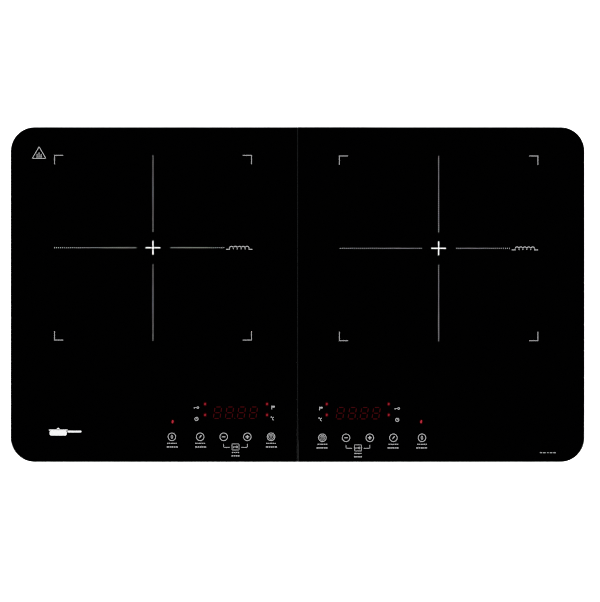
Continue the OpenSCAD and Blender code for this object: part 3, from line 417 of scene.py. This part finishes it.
for side, sign in SIDES.items():
    low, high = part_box(f"{side}_power_board")
    middle = Vector(((low.x + high.x) / 2, (low.y + high.y) / 2, high.z))
    films = []
    for x, y, w, d, h in film_boxes:
        block(middle + Vector((sign * x, y, h / 2)) * MM, Vector((w, d, h)) * MM)
        pick(lambda c, n: c.z > middle.z + 0.001, "EDGE")
        bpy.ops.mesh.bevel(offset=0.001, segments=3, affect="EDGES")
        films.append(bpy.context.object)
    bpy.ops.object.mode_set(mode="OBJECT")
    join(films)
    finish_piece(f"{side}_film_capacitors", capacitor_plastic, "chassis", "capacitor_plastic",
                 f"{side}_capacitors")

    can_foot = middle + Vector((sign * can_x, can_y, 0))
    fresh()
    bpy.ops.mesh.primitive_cylinder_add(vertices=48, radius=can_r, depth=can_h,
                                        location=can_foot + Vector((0, 0, can_h / 2)))
    bpy.ops.object.transform_apply(location=True, rotation=True, scale=True)
    edit()
    pick(lambda c, n: n.z > 0.999)
    bpy.ops.mesh.inset(thickness=0.0006)
    bpy.ops.mesh.inset(thickness=0.0003, depth=-0.0004)
    band = can_foot + Vector((0, 0, band_z))
    for z in (band.z - band_half, band.z, band.z + band_half):
        bpy.ops.mesh.select_all(action="SELECT")
        bpy.ops.mesh.bisect(plane_co=(0, 0, z), plane_no=(0, 0, 1))
    pick(lambda c, n: abs(c.z - band.z) < 0.00002 and abs(n.z) < 0.01, "EDGE")
    bpy.ops.transform.resize(value=(band_pinch, band_pinch, 1), center_override=band)
    bpy.ops.object.mode_set(mode="OBJECT")
    can = bpy.context.object
    join([can, copy_to(can, (sign * can_pitch, 0, 0))])
    finish_piece(f"{side}_can_capacitors", can_sleeve, "chassis", "capacitor_plastic")

transformer_tape = grained("transformer_tape", (0.42, 0.3, 0.04), (0.6, 0.44, 0.08), (0.2, 0.32),
                           0.0012, 0.00002, stretch=(1, 1, 6))
core_ferrite = grained("core_ferrite", (0.02, 0.02, 0.022), (0.045, 0.045, 0.048), (0.5, 0.7),
                       0.0005, 0.00001)
core_wall, core_play, overhang = 0.003, 0.0004, 0.001
for side in SIDES:
    low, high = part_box(f"{side}_transformer")
    low.y, high.y = low.y + overhang, high.y - overhang
    block((low + high) / 2, high - low)
    pick(lambda c, n: abs(n.y) > 0.9)
    bpy.ops.mesh.inset(thickness=core_wall, use_individual=True)
    bpy.ops.mesh.bridge_edge_loops()
    pick(lambda c, n: min(abs(c.x - low.x), abs(c.x - high.x)) < NEAR, "EDGE")
    bpy.ops.mesh.bevel(offset=0.0004, segments=2, affect="EDGES")
    finish_piece(f"{side}_transformer_core", core_ferrite, "chassis", "transformer_tape",
                 f"{side}_transformer")
    wall = 2 * core_wall + core_play
    wound = high - low + Vector((-wall, 2 * overhang, -wall))
    block((low + high) / 2, wound)
    pick(lambda c, n: abs(abs(c.z - (low.z + high.z) / 2) - wound.z / 2) < NEAR, "EDGE")
    bpy.ops.mesh.bevel(offset=0.0012, segments=4, affect="EDGES")
    finish_piece(f"{side}_transformer_winding", transformer_tape, "chassis", "transformer_tape")

copper = grained("copper", (0.42, 0.13, 0.05), (0.72, 0.3, 0.14), (0.22, 0.38), 0.0005, 0.00002,
                 Metallic=0.9)
dress(copper, *both("choke"), *both("fan_stator"), *both("coil_winding"))
choke_green = grained("choke_green", (0.012, 0.06, 0.03), (0.02, 0.1, 0.05), (0.35, 0.5),
                      0.0008, 0.00001)
ring_r, core_r, strand_r, choke_turns = 0.0095, 0.0038, 0.0006, 26
base_r, base_h = 0.015, 0.002
for side in SIDES:
    low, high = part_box(f"{side}_choke")
    middle = (low + high) / 2
    middle.z = high.z - core_r - 2 * strand_r
    fresh()
    bpy.ops.mesh.primitive_torus_add(major_radius=ring_r, minor_radius=core_r, major_segments=64,
                                     minor_segments=20, location=middle)
    core = bpy.context.object
    bpy.ops.mesh.primitive_cylinder_add(vertices=56, radius=base_r, depth=base_h,
                                        location=(middle.x, middle.y, low.z + base_h / 2))
    edit()
    pick(lambda c, n: c.z > base_h * 0.45, "EDGE")
    bpy.ops.mesh.bevel(offset=0.0005, segments=2, affect="EDGES")
    bpy.ops.object.mode_set(mode="OBJECT")
    join([core, bpy.context.object])
    finish_piece(f"{side}_choke_core", choke_green, "chassis", "copper", f"{side}_choke")
    bpy.ops.mesh.primitive_torus_add(major_radius=core_r + strand_r, minor_radius=strand_r,
                                     major_segments=24, minor_segments=8,
                                     location=middle + Vector((ring_r, 0, 0)),
                                     rotation=(math.radians(90), 0, 0))
    strand = bpy.context.object
    strands = [strand]
    for k in range(1, choke_turns):
        strands.append(copy_to(strand, (0, 0, 0)))
        bpy.ops.transform.rotate(value=math.radians(360 * k / choke_turns), orient_axis="Z",
                                 center_override=middle)
    join(strands)
    finish_piece(f"{side}_choke_winding", copper, "chassis", "copper", smooth=60)

# ---------------------------------------------------------------- fans
# Two axial fans blow up from the grilles. Frame and impeller are black glass-filled PBT,
# the shaft is ground steel, and the ring magnet is bonded ferrite.

fan_black = grained("fan_black", (0.01, 0.01, 0.011), (0.022, 0.022, 0.024), (0.35, 0.55),
                    0.0006, 0.00001)
dress(fan_black, *both("fan_frame"), *both("fan_impeller"))
magnet = grained("magnet", (0.03, 0.03, 0.032), (0.06, 0.06, 0.064), (0.55, 0.75),
                 0.0004, 0.00001)
dress(magnet, *both("fan_magnet"))
zinc_steel = grained("zinc_steel", (0.5, 0.5, 0.52), (0.7, 0.71, 0.74), (0.22, 0.4),
                     0.0005, 0.000005, Metallic=1.0)
dress(zinc_steel, *both("fan_shaft"), "housing_screws", "inner_screws")

# ---------------------------------------------------------------- cooking coils
# Stranded copper wound flat on a plastic spider, with ferrite bars under it, a mica disc
# over it and a silicone-cased sensor in its middle. Sleeved leads run down to the board.

carrier_plastic = grained("carrier_plastic", (0.4, 0.37, 0.29), (0.52, 0.49, 0.4), (0.45, 0.6),
                          0.0008, 0.00002)
dress(carrier_plastic, *both("coil_carrier"))
ferrite = grained("ferrite", (0.035, 0.035, 0.037), (0.075, 0.075, 0.078), (0.5, 0.7),
                  0.0005, 0.00002)
dress(ferrite, *both("ferrite_bars"))
mica = grained("mica", (0.4, 0.33, 0.2), (0.62, 0.54, 0.38), (0.25, 0.45), 0.004, 0.00002,
               pattern="TexVoronoi")
dress(mica, *both("mica_sheet"))
sensor_silicone = grained("sensor_silicone", (0.62, 0.62, 0.58), (0.78, 0.78, 0.75), (0.45, 0.6),
                          0.0015, 0.00001)
dress(sensor_silicone, *both("pan_sensor"))
lead_sleeve = grained("lead_sleeve", (0.45, 0.42, 0.33), (0.7, 0.66, 0.55), (0.7, 0.9),
                      0.0006, 0.00008, pattern="TexVoronoi")
dress(lead_sleeve, *both("coil_leads"))

# ---------------------------------------------------------------- controls
# A green control board hangs under each panel's front. It carries a four-digit display with
# clouded resin segments, five indicator lamps and a coiled contact spring under each touch key.

PRINT_T = 0.00008


def open_sheet():
    """Starts a flat print: an empty mesh, open in edit mode, at the print's lower face."""
    fresh()
    bpy.ops.mesh.primitive_plane_add(size=MM)
    edit()
    bpy.ops.mesh.select_all(action="SELECT")
    bpy.ops.mesh.delete(type="VERT")


def turn_flat(turn, middle):
    """Turns what is selected anticlockwise about a place, in degrees, as seen from above."""
    bpy.ops.transform.rotate(value=-math.radians(turn), orient_axis="Z", center_override=middle)


def bar(x, y, w, h, turn=0.0, cut=0.0):
    """Flat bar, in mm, centred. A cut takes off its corners."""
    bpy.ops.mesh.select_all(action="DESELECT")
    middle = (x * MM, y * MM, 0)
    bpy.ops.mesh.primitive_plane_add(size=MM, location=middle)
    bpy.ops.transform.resize(value=(w, h, 1), center_override=middle)
    if cut:
        bpy.ops.mesh.bevel(offset=cut * MM, segments=1, affect="VERTICES")
    if turn:
        turn_flat(turn, middle)


def disc(x, y, across, stroke=0.0, count=40, tall=None, turn=0.0):
    """Flat disc, in mm, or a ring of a given stroke. Tall stretches it along Y."""
    bpy.ops.mesh.select_all(action="DESELECT")
    middle = (x * MM, y * MM, 0)
    bpy.ops.mesh.primitive_circle_add(vertices=count, radius=across / 2 * MM, fill_type="NGON",
                                      location=middle)
    if tall:
        bpy.ops.transform.resize(value=(1, tall / across, 1), center_override=middle)
    if turn:
        turn_flat(turn, middle)
    if stroke:
        bpy.ops.mesh.inset(thickness=stroke * MM)
        bpy.ops.mesh.delete(type="FACE")
        bpy.ops.mesh.select_linked()


def close_sheet(name, material, slot, top, thick=PRINT_T):
    """Gives a flat print its thickness, with its upper face at a given height."""
    made = bpy.context.object
    bpy.ops.object.mode_set(mode="OBJECT")
    bpy.ops.transform.translate(value=(0, 0, top - thick))
    bpy.ops.object.modifier_add(type="SOLIDIFY")
    made.modifiers[0].thickness = thick
    made.modifiers[0].offset = 1.0
    bpy.ops.object.modifier_apply(modifier=made.modifiers[0].name)
    finish_piece(name, material, "chassis", slot, smooth=0)


board_green, start, shader = new_material("board_green", {"Roughness": 0.3, "Coat Weight": 0.4,
                                                          "Coat Roughness": 0.15})
place = start.node("TexCoord", out="Object")
slanted = start.node("Mapping", {"Vector": place, "Rotation": (0, 0, 0.7854)})
traces = track_mask(start, slanted, 110.0, 0.014)
lacquer = start.node("TexNoise", {"Vector": place, "Scale": 350.0, "Detail": 2.0})
green = lacquer.blend((0.008, 0.055, 0.02), (0.014, 0.09, 0.035))
feed(shader, Base_Color=traces.blend(green, (0.03, 0.2, 0.07)),
     Normal=start.node("Bump", {"Height": traces, "Distance": 0.00003}))
dress(board_green, *both("control_board"))
display_grey = grained("display_grey", (0.04, 0.04, 0.043), (0.07, 0.07, 0.075), (0.3, 0.45),
                       0.0008, 0.00001)
segment_resin = grained("segment_resin", (0.5, 0.47, 0.45), (0.62, 0.6, 0.58), (0.3, 0.4),
                        0.0012, 0.000005)
digit_h, digit_pitch, lean, segment_t = 13.0, 12.5, 9.0, 1.0     # in mm and degrees
flat_long, upright_long, upright_x, segment_cut = 4.6, 4.2, 3.5, 0.4
open_sheet()
half = digit_h / 2 - segment_t / 2
slope = math.tan(math.radians(lean))
for v in (half, 0, -half):
    bar(v * slope, v, flat_long, segment_t, cut=segment_cut)
for s in (-1, 1):
    for v in (half / 2, -half / 2):
        bar(s * upright_x + v * slope, v, segment_t, upright_long, turn=-lean, cut=segment_cut)
bpy.ops.object.mode_set(mode="OBJECT")
digit = bpy.context.object


def four_digits(middle):
    """Four digits and their point as one open sheet, centred on a place."""
    places = [middle.x + (k - 1.5) * digit_pitch * MM for k in range(4)]
    join([copy_to(digit, (x, middle.y, 0)) for x in places])
    edit()
    disc(middle.x / MM - 0.8, middle.y / MM - digit_h / 2 + 0.6, 1.2, count=12)


for side in SIDES:
    low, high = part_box(f"{side}_display")
    block((low + high) / 2, high - low)
    pick(lambda c, n: c.z > high.z - NEAR)
    bpy.ops.mesh.inset(thickness=0.0012)
    bpy.ops.mesh.inset(thickness=0.0002, depth=-0.0004)
    pick(lambda c, n: max(abs(n.x), abs(n.y)) < NEAR
         and min(abs(c.x - low.x), abs(c.x - high.x)) < NEAR, "EDGE")
    bpy.ops.mesh.bevel(offset=0.0006, segments=3, affect="EDGES")
    finish_piece(f"{side}_display_case", display_grey, "chassis", "display_grey",
                 f"{side}_display")
    four_digits((low + high) / 2)
    close_sheet(f"{side}_display_segments", segment_resin, "display_grey", high.z - 0.0002, 0.0002)

led_red = grained("led_red", (0.3, 0.012, 0.012), (0.42, 0.02, 0.02), (0.12, 0.2),
                  0.002, 0.000005)
dress(led_red, *both("indicator_leds"))
spring_out, spring_wire, spring_turns = 0.0034, 0.00045, 5
seat_t, cap_t = 0.0006, 0.0008
spring_x = (27.0, 51.7, 76.5, 101.2, 130.9)     # each key's place from the joint, in mm
spring_steel = grained("spring_steel", (0.5, 0.46, 0.33), (0.72, 0.67, 0.52), (0.2, 0.35),
                       0.0004, 0.000005, Metallic=1.0)
for side, sign in SIDES.items():
    low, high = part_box(f"{side}_touch_springs")
    foot, head = low.z + seat_t, high.z - cap_t
    rise = head - foot - 2 * spring_wire
    fresh()
    bpy.ops.mesh.primitive_circle_add(vertices=10, radius=spring_wire,
                                      rotation=(math.radians(90), 0, 0),
                                      location=(spring_out - spring_wire, 0, foot + spring_wire))
    bpy.ops.object.transform_apply(location=True, rotation=True, scale=True)
    coil = bpy.context.object
    bpy.ops.object.modifier_add(type="SCREW")
    turned = coil.modifiers[0]
    turned.iterations, turned.screw_offset = spring_turns, rise / spring_turns
    turned.steps = turned.render_steps = 24
    bpy.ops.object.modifier_apply(modifier=turned.name)
    edit()
    bpy.ops.mesh.select_all(action="SELECT")
    bpy.ops.mesh.fill_holes(sides=0)
    bpy.ops.mesh.select_all(action="SELECT")
    bpy.ops.mesh.normals_make_consistent(inside=False)
    for z, thick in ((low.z, seat_t), (head, cap_t)):
        bpy.ops.mesh.primitive_cylinder_add(vertices=32, radius=spring_out, depth=thick,
                                            location=(0, 0, z + thick / 2))
    bpy.ops.object.mode_set(mode="OBJECT")
    middle_y = (low.y + high.y) / 2
    springs = [copy_to(coil, (sign * x * MM, middle_y, 0)) for x in spring_x]
    bpy.data.objects.remove(coil)
    join(springs)
    finish_piece(f"{side}_coiled_springs", spring_steel, "chassis", "spring_steel",
                 f"{side}_touch_springs", smooth=40)

ribbon_grey = grained("ribbon_grey", (0.3, 0.3, 0.31), (0.46, 0.46, 0.47), (0.35, 0.5),
                      0.00127, 0.0002, pattern="TexWave", stretch=(1, 0, 0))
dress(ribbon_grey, *both("ribbon_cable"))

# ---------------------------------------------------------------- joint and bead
# A grey silicone bead holds each panel to the frame, and a dark soft strip fills the
# 1 mm joint between the two panels, just below their surface.

silicone = grained("silicone", (0.05, 0.05, 0.052), (0.085, 0.085, 0.09), (0.4, 0.6),
                   0.002, 0.00004)
dress(silicone, *both("glass_adhesive"))
seal_rubber = grained("seal_rubber", (0.0022, 0.0032, 0.0034), (0.004, 0.0055, 0.006), (0.5, 0.7),
                      0.0015, 0.00002, **{"Specular IOR Level": 0.22})
seal_low, seal_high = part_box("centre_seal")
seal_end = cad_box[1].y - NEAR     # the strip stops just short of the frame's outside
block(Vector((0, 0, (seal_low.z + seal_high.z) / 2)),
      Vector((seal_high.x - seal_low.x, 2 * seal_end, seal_high.z - seal_low.z)))
pick(lambda c, n: abs(c.z - seal_high.z) < NEAR and abs(c.x) > NEAR, "EDGE")
bpy.ops.mesh.bevel(offset=0.00035, segments=3, affect="EDGES")
finish_piece("joint_strip", seal_rubber, "chassis", "seal_rubber", "centre_seal")

# ---------------------------------------------------------------- glass panels
# Two 4 mm panels of black ceramic glass with polished, rounded edges. The outer corners
# have a 25 mm radius, and each panel ends square at the joint.

print_top = cad_box[1].z
glass_top = print_top - 0.00004     # lets the prints stand at the CAD's height
corner_r = 0.025
arris, joint_arris = 0.0007, 0.000245

black_glass, start, shader = new_material("black_glass", {"IOR": 1.5})
place = start.node("TexCoord", out="Object")
haze = start.node("TexNoise", {"Vector": place, "Scale": 9.0, "Detail": 6.0, "Roughness": 0.62})
strokes = start.node("Mapping", {"Vector": place, "Rotation": (0, 0, 0.5), "Scale": (3, 60, 1)})
wiped = start.node("TexNoise", {"Vector": strokes, "Scale": 2.0, "Detail": 5.0})
feed(shader, Base_Color=haze.blend((0.0001, 0.0001, 0.00012), (0.0003, 0.0003, 0.00035)),
     Roughness=haze * 0.05 + wiped * 0.04 + 0.005,
     Normal=start.node("Bump", {"Height": haze, "Distance": 0.00002, "Strength": 0.4}))


def on_face_edge(c, n):
    """Whether an edge runs round the top or the bottom of the panel that is being made."""
    return min(abs(c.z - high.z), abs(c.z - low.z)) < NEAR and abs(n.z) < NEAR


for side, sign in SIDES.items():
    low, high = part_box(f"{side}_glass")
    high.z = glass_top
    outer, joint = (high.x, low.x) if sign > 0 else (low.x, high.x)
    block((low + high) / 2, high - low)
    pick(lambda c, n: abs(c.x - outer) < NEAR and abs(n.z) > 0.001, "EDGE")
    bpy.ops.mesh.bevel(offset=corner_r, segments=24, affect="EDGES")
    pick(lambda c, n: on_face_edge(c, n) and abs(c.x - joint) < NEAR, "EDGE")
    bpy.ops.mesh.bevel(offset=joint_arris, segments=2, affect="EDGES")
    pick(lambda c, n: on_face_edge(c, n) and abs(c.x - joint) > 0.0005, "EDGE")
    bpy.ops.mesh.bevel(offset=arris, segments=4, affect="EDGES")
    finish_piece(f"{side}_panel", black_glass, "chassis", "black_glass", f"{side}_glass")

# ---------------------------------------------------------------- zone marks
# Fired white enamel, a few hundredths of a millimetre thick. Each zone has a cross in its
# middle, dotted lines out to a frame of four corner marks, and a coil sign on its right.


def arch(x, y, across, stroke, normal=(0, 1, 0)):
    """Half of a ring, in mm, on the side that the normal points to."""
    middle = Vector((x * MM, y * MM, 0))
    disc(x, y, across, stroke, 32)
    pick(lambda c, n: (c - middle).length < across * 0.7 * MM)
    bpy.ops.mesh.bisect(plane_co=middle, plane_no=normal, clear_inner=True)


def enamel(name, shade):
    """Fired enamel with slightly thinner patches."""
    return grained(name, tuple(v * 0.86 for v in shade), shade, (0.35, 0.5), 0.0006, 0.000004)


white_enamel = enamel("white_enamel", (0.78, 0.78, 0.78))
grey_enamel = enamel("grey_enamel", (0.27, 0.27, 0.275))
key_enamel = enamel("key_enamel", (0.38, 0.38, 0.385))
# sizes and places of the marks are in mm
zone_mark = {"left": (-151.25, 49.0), "right": (147.5, 48.35)}
frame_x = {"left": 103.0, "right": 103.8}
frame_y, frame_leg_x, frame_leg_y, frame_stroke = 96.6, 9.6, 8.9, 0.95
leg_in_x, leg_in_y = 4.3, 4.9     # from a corner of the frame to its legs' middles
cross_w, cross_stroke, cross_arm, cross_arm_y = 15.4, 1.4, 6.6, 4.0
dot_size, dot_long, dot_pitch = 0.85, 1.35, 2.12
dotted_lines = ((-103, -19, True), (19, 74, True), (-96.6, -17.4, False), (17.4, 96.6, False))
hump, hump_stroke, hump_count = 4.1, 0.9, 5

for side in SIDES:
    x, y = zone_mark[side]
    open_sheet()
    bar(x, y, cross_w, cross_stroke)
    bar(x, y + cross_arm_y, cross_stroke, cross_arm)
    bar(x, y - cross_arm_y, cross_stroke, cross_arm)
    close_sheet(f"{side}_zone_cross", white_enamel, "black_glass", print_top)

    open_sheet()
    for sx in (-1, 1):
        for sy in (-1, 1):
            bar(x + sx * (frame_x[side] - leg_in_x), y + sy * frame_y, frame_leg_x, frame_stroke)
            bar(x + sx * frame_x[side], y + sy * (frame_y - leg_in_y), frame_stroke, frame_leg_y)
    close_sheet(f"{side}_zone_corners", grey_enamel, "black_glass", print_top)

    open_sheet()
    for first_at, last_at, level in dotted_lines:
        for k in range(round((last_at - first_at) / dot_pitch) + 1):
            at = first_at + k * dot_pitch
            disc(x + at * level, y + at * (not level), dot_size, count=8, tall=dot_long,
                 turn=0 if level else 90)
    close_sheet(f"{side}_zone_dots", key_enamel, "black_glass", print_top)

    open_sheet()
    coil_x, coil_y = x + 90.2, y - 1.7
    for k in range(hump_count):
        arch(coil_x + (k - (hump_count - 1) / 2) * hump, coil_y + 1.1, hump + hump_stroke, hump_stroke)
    for k in range(hump_count + 1):
        leg = 1.1 + hump_stroke * (k in (0, hump_count))
        bar(coil_x + (k - hump_count / 2) * hump, coil_y + 0.55, hump_stroke, leg)
    for s in (-1, 1):
        bar(coil_x + s * 12.2, coil_y + 0.02, 3.1, hump_stroke)
    close_sheet(f"{side}_zone_coil_sign", key_enamel, "black_glass", print_top)

# ---------------------------------------------------------------- corner marks
# Small enamel marks in three corners: a triangle with three short strokes at the back left,
# a plain saucepan at the front left, and a few short dashes at the front right.

peak, left_foot, right_foot = (-270.4, 154.6), (-277.5, 142.4), (-263.3, 142.4)
triangle_x, pan_x, pan_y = peak[0], -250.4, -144.0
dash_x, dash_y, dash_pitch = 254.6, -165.4, 3.5
open_sheet()
for (ax, ay), (bx, by) in ((peak, left_foot), (left_foot, right_foot), (right_foot, peak)):
    bar((ax + bx) / 2, (ay + by) / 2, math.hypot(bx - ax, by - ay) + 0.5, 0.75,
        turn=math.degrees(math.atan2(by - ay, bx - ax)))
for k in (-1, 0, 1):
    bar(triangle_x + k * 2.1, 145.5 + (k == 0) * 0.7, 0.8, 3.0 + (k == 0) * 1.8)
bar(triangle_x, 143.8, 6.4, 0.6)
close_sheet("triangle_mark", key_enamel, "black_glass", print_top)

open_sheet()
bar(pan_x, pan_y - 0.9, 18.0, 5.2, cut=1.3)
bar(pan_x, pan_y + 2.3, 19.6, 1.1)
disc(pan_x, pan_y + 3.4, 2.6, count=20)
bar(pan_x + 17.0, pan_y + 0.7, 14.6, 2.0, cut=0.6)
close_sheet("pan_mark", white_enamel, "black_glass", print_top)

open_sheet()
for k, long in enumerate((2.6, 2.6, 1.6, 2.6, 2.6)):
    bar(dash_x + k * dash_pitch, dash_y, long, 1.0)
close_sheet("dash_mark", grey_enamel, "black_glass", print_top)

# ---------------------------------------------------------------- touch keys
# Each key is an enamel ring with its sign inside. Under the keys are rows of plain bars
# where a maker prints its labels, and a bracket joins minus and plus to the lock's key sign.

label_enamel = enamel("label_enamel", (0.36, 0.36, 0.365))
key_order = {"left": ("power", "timer", "minus", "plus", "option"),
             "right": ("option", "minus", "plus", "timer", "power")}
key_at = {"left": (-131.5, -101.9, -77.3, -52.6, -27.8), "right": (25.9, 50.7, 75.5, 100.2, 130.1)}
key_row = {"left": -148.8, "right": -149.8}
ring_across, ring_stroke, label_gap, lock_stroke, frame_line = 8.7, 0.75, 0.55, 0.7, 0.65


def key_sign(kind, x, y):
    """The sign inside one key's ring."""
    if kind == "power":
        disc(x, y, 2.4, 0.5, count=28, tall=4.2)
        bar(x, y, 0.5, 2.0)
    elif kind == "timer":
        bar(x + 0.25, y + 0.35, 3.5, 1.2, turn=52, cut=0.5)
        bar(x - 0.9, y - 0.9, 1.2, 0.7, turn=52, cut=0.3)
    elif kind == "minus":
        bar(x, y, 3.7, 0.95, cut=0.3)
    elif kind == "plus":
        bar(x, y, 3.9, 1.2, cut=0.3)
        bar(x, y + 1.25, 1.2, 1.3)
        bar(x, y - 1.25, 1.2, 1.3)
    else:
        disc(x, y, 5.6, 0.45)
        for k in (-1, 0, 1):
            bar(x, y + k * 1.2, 2.7, 0.45)


def label(x, y, widths, tall):
    """Row of small plain bars, centred."""
    at = x - (sum(widths) + label_gap * (len(widths) - 1)) / 2
    for w in widths:
        bar(at + w / 2, y, w, tall)
        at += w + label_gap


def door_key(x, y, bow_x, bow):
    """A key lying on its side, with its bow on the right."""
    disc(x + bow_x, y, bow, lock_stroke, count=24)
    bar(x - 1.1, y, 3.2, lock_stroke)
    bar(x - 2.2, y - 0.7, lock_stroke, 1.1)


for side, sign in SIDES.items():
    row = key_row[side]
    keys = list(zip(key_order[side], key_at[side]))
    open_sheet()
    for kind, x in keys:
        disc(x, row, ring_across, ring_stroke, count=48)
        key_sign(kind, x, row)
    close_sheet(f"{side}_keys", key_enamel, "black_glass", print_top)

    open_sheet()
    label_y, lock_y = row - 6.8, row - 10.6
    for kind, x in keys:
        if kind in ("power", "timer", "option"):
            label(x, label_y, (1.6, 1.2, 2.2, 1.7, 1.3), 0.95)
            label(x - sign * 0.4, lock_y, (2.4, 1.4, 2.0, 1.2, 2.2), 1.2)
    middle = sum(x for kind, x in keys if kind in ("minus", "plus")) / 2
    for s in (-1, 1):
        bar(middle + s * 12.4, row - 9.4, frame_line, 3.8)
        bar(middle + s * 9.4, row - 11.0, 6.6, frame_line)
    for s in (-1, 1):
        bar(middle, lock_y + s * 3.2, 6.6, frame_line)
        bar(middle + s * 3.65, lock_y, frame_line, 5.4)
        for t in (-1, 1):
            bar(middle + s * 3.4, lock_y + t * 2.95, 0.9, 0.7, turn=-45 * s * t)
    door_key(middle, lock_y, 1.3, 2.4)
    label(middle, row - 16.4, (1.5, 1.4, 1.6, 1.3), 1.0)
    label(middle, row - 19.9, (1.8, 1.3, 1.9, 1.6), 1.2)
    close_sheet(f"{side}_key_labels", label_enamel, "black_glass", print_top)

    # key and clock beside the display's outer end, flag and hook beside its inner end
    open_sheet()
    outer_x, inner_x, upper, lower = sign * 105 - 0.8, sign * 25 - 0.8, row + 30.6, row + 18.7
    door_key(outer_x - 0.1, upper, 1.6, 2.5)
    disc(outer_x, lower, 4.2, 0.75)
    bar(outer_x, lower + 0.5, 0.5, 1.4)
    bar(outer_x + 0.4, lower - 0.1, 1.2, 0.5)
    bar(inner_x - 1.2, upper, 0.8, 3.8)
    bar(inner_x + 0.6, upper + 0.9, 2.8, 1.9, cut=0.5)
    disc(inner_x - 1.7, lower + 1.9, 1.5, 0.5, count=16)
    arch(inner_x + 1.0, lower + 0.3, 3.7, 0.75, normal=(-1, 0, 0))
    close_sheet(f"{side}_display_signs", label_enamel, "black_glass", print_top)

# ---------------------------------------------------------------- display light
# The red digits and lamps shine through the black glass, so they read as dim slanted
# segments and small bright spots at its surface.


def lit(name, core, spread=0.2):
    """Red light seen in the glass, a little uneven like a real segment."""
    made, start, shader = new_material(name, {"Base Color": (0.01, 0, 0, 1), "Roughness": 0.08,
                                              "Emission Strength": 1.0})
    place = start.node("TexCoord", out="Object")
    uneven = start.node("TexNoise", {"Vector": place, "Scale": 900.0, "Detail": 2.0})
    feed(shader, Emission_Color=uneven.blend(tuple(v * (1 - spread) for v in core), core))
    return made


digit_light = lit("digit_light", (0.055, 0.003, 0.005), 0.4)
lamp_light = lit("lamp_light", (0.32, 0.015, 0.03))
power_light = lit("power_light", (0.5, 0.028, 0.05))
glow_light = lit("glow_light", (0.03, 0.001, 0.0015), 0.5)
lamp_places = ((31.2, -114.5), (31.2, -125.9), (96.0, -114.5), (96.0, -125.9), (130.0, -133.0))
lamp_across, lamp_turn, glow_across = 1.9, -12, 3.6

for side, sign in SIDES.items():
    low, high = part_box(f"{side}_display")
    middle = (low + high) / 2 + Vector((-0.8, (key_row[side] - key_row["left"]) / 2 + 0.5, 0)) * MM
    four_digits(middle)
    close_sheet(f"{side}_digits", digit_light, "led_red", glass_top + 0.00001, 0.00005)
    lamps = [(sign * x - 0.75, y) for x, y in lamp_places]
    open_sheet()
    for x, y in lamps[:4]:
        disc(x, y, lamp_across, count=20, tall=2.5, turn=lamp_turn)
    close_sheet(f"{side}_lamps", lamp_light, "led_red", print_top - 0.00001, 0.00006)
    open_sheet()
    disc(*lamps[4], lamp_across, count=24, tall=3.4, turn=lamp_turn)
    close_sheet(f"{side}_power_lamp", power_light, "led_red", print_top - 0.00001, 0.00006)
    open_sheet()
    for x, y in lamps:
        disc(x, y, glow_across, count=24, tall=4.6)
    close_sheet(f"{side}_lamp_glow", glow_light, "led_red", glass_top + 0.000005, 0.00004)
bpy.data.objects.remove(digit)

# ---------------------------------------------------------------- studio
# Plain pale floor that is clear from below, a sky that is bright only near the horizon, and
# three soft lamps. The camera looks straight down from well above the middle.

fresh()
bpy.ops.mesh.primitive_plane_add(size=60, location=(0, 0, 0))
floor = bpy.context.object
floor.name = "floor"
floor_finish, start, shader = new_material(
    "floor", {"Base Color": (0.62, 0.62, 0.62, 1), "Roughness": 0.9,
              "Emission Color": (1, 1, 1, 1), "Emission Strength": 0.8})
under = start.node("NewGeometry", out="Backfacing")
clear = start.node("BsdfTransparent")
mixed = start.node("MixShader", {0: under, 1: Sock(start.tree, shader.outputs[0]), 2: clear})
start.tree.links.new(mixed.out, start.tree.nodes["Material Output"].inputs["Surface"])
floor.data.materials.append(floor_finish)

world = bpy.data.worlds.new("studio")
bpy.context.scene.world = world
world.use_nodes = True
sky = Sock(world.node_tree)
height = sky.node("SeparateXYZ", {0: sky.node("TexCoord", out="Generated")}, out="Z")
sky_stops = ((0.0, (0.95, 0.95, 0.95)), (0.22, (0.55, 0.55, 0.56)), (0.6, (0.2, 0.2, 0.205)),
             (0.9, (0, 0, 0)))
shade = sky.node("ValToRGB", {0: height}, stops=sky_stops)
world.node_tree.links.new(shade.out, world.node_tree.nodes["Background"].inputs["Color"])
lamps = (((-1.7, -1.1, 2.4), 1.0, 50), ((1.8, -0.8, 2.3), 1.0, 44), ((0.2, 1.9, 2.4), 1.2, 40))
for place, size, power in lamps:
    fresh()
    bpy.ops.object.light_add(type="AREA", location=place)
    lamp = bpy.context.object
    lamp.data.size, lamp.data.energy = size, power
    lamp.rotation_euler = (-Vector(place)).to_track_quat("-Z", "Y").to_euler()

eye = Vector((0.0025, -0.00675, cad_box[1].z + 3.498))
fresh()
bpy.ops.object.camera_add(location=eye, rotation=(0, 0, 0))
camera = bpy.context.object
camera.data.sensor_width = 36
camera.data.lens = 200
camera.data.clip_start, camera.data.clip_end = 0.1, 100
bpy.context.scene.camera = camera
bpy.context.scene.view_settings.view_transform = "Standard"
bpy.context.scene.cycles.filter_width = 1.0
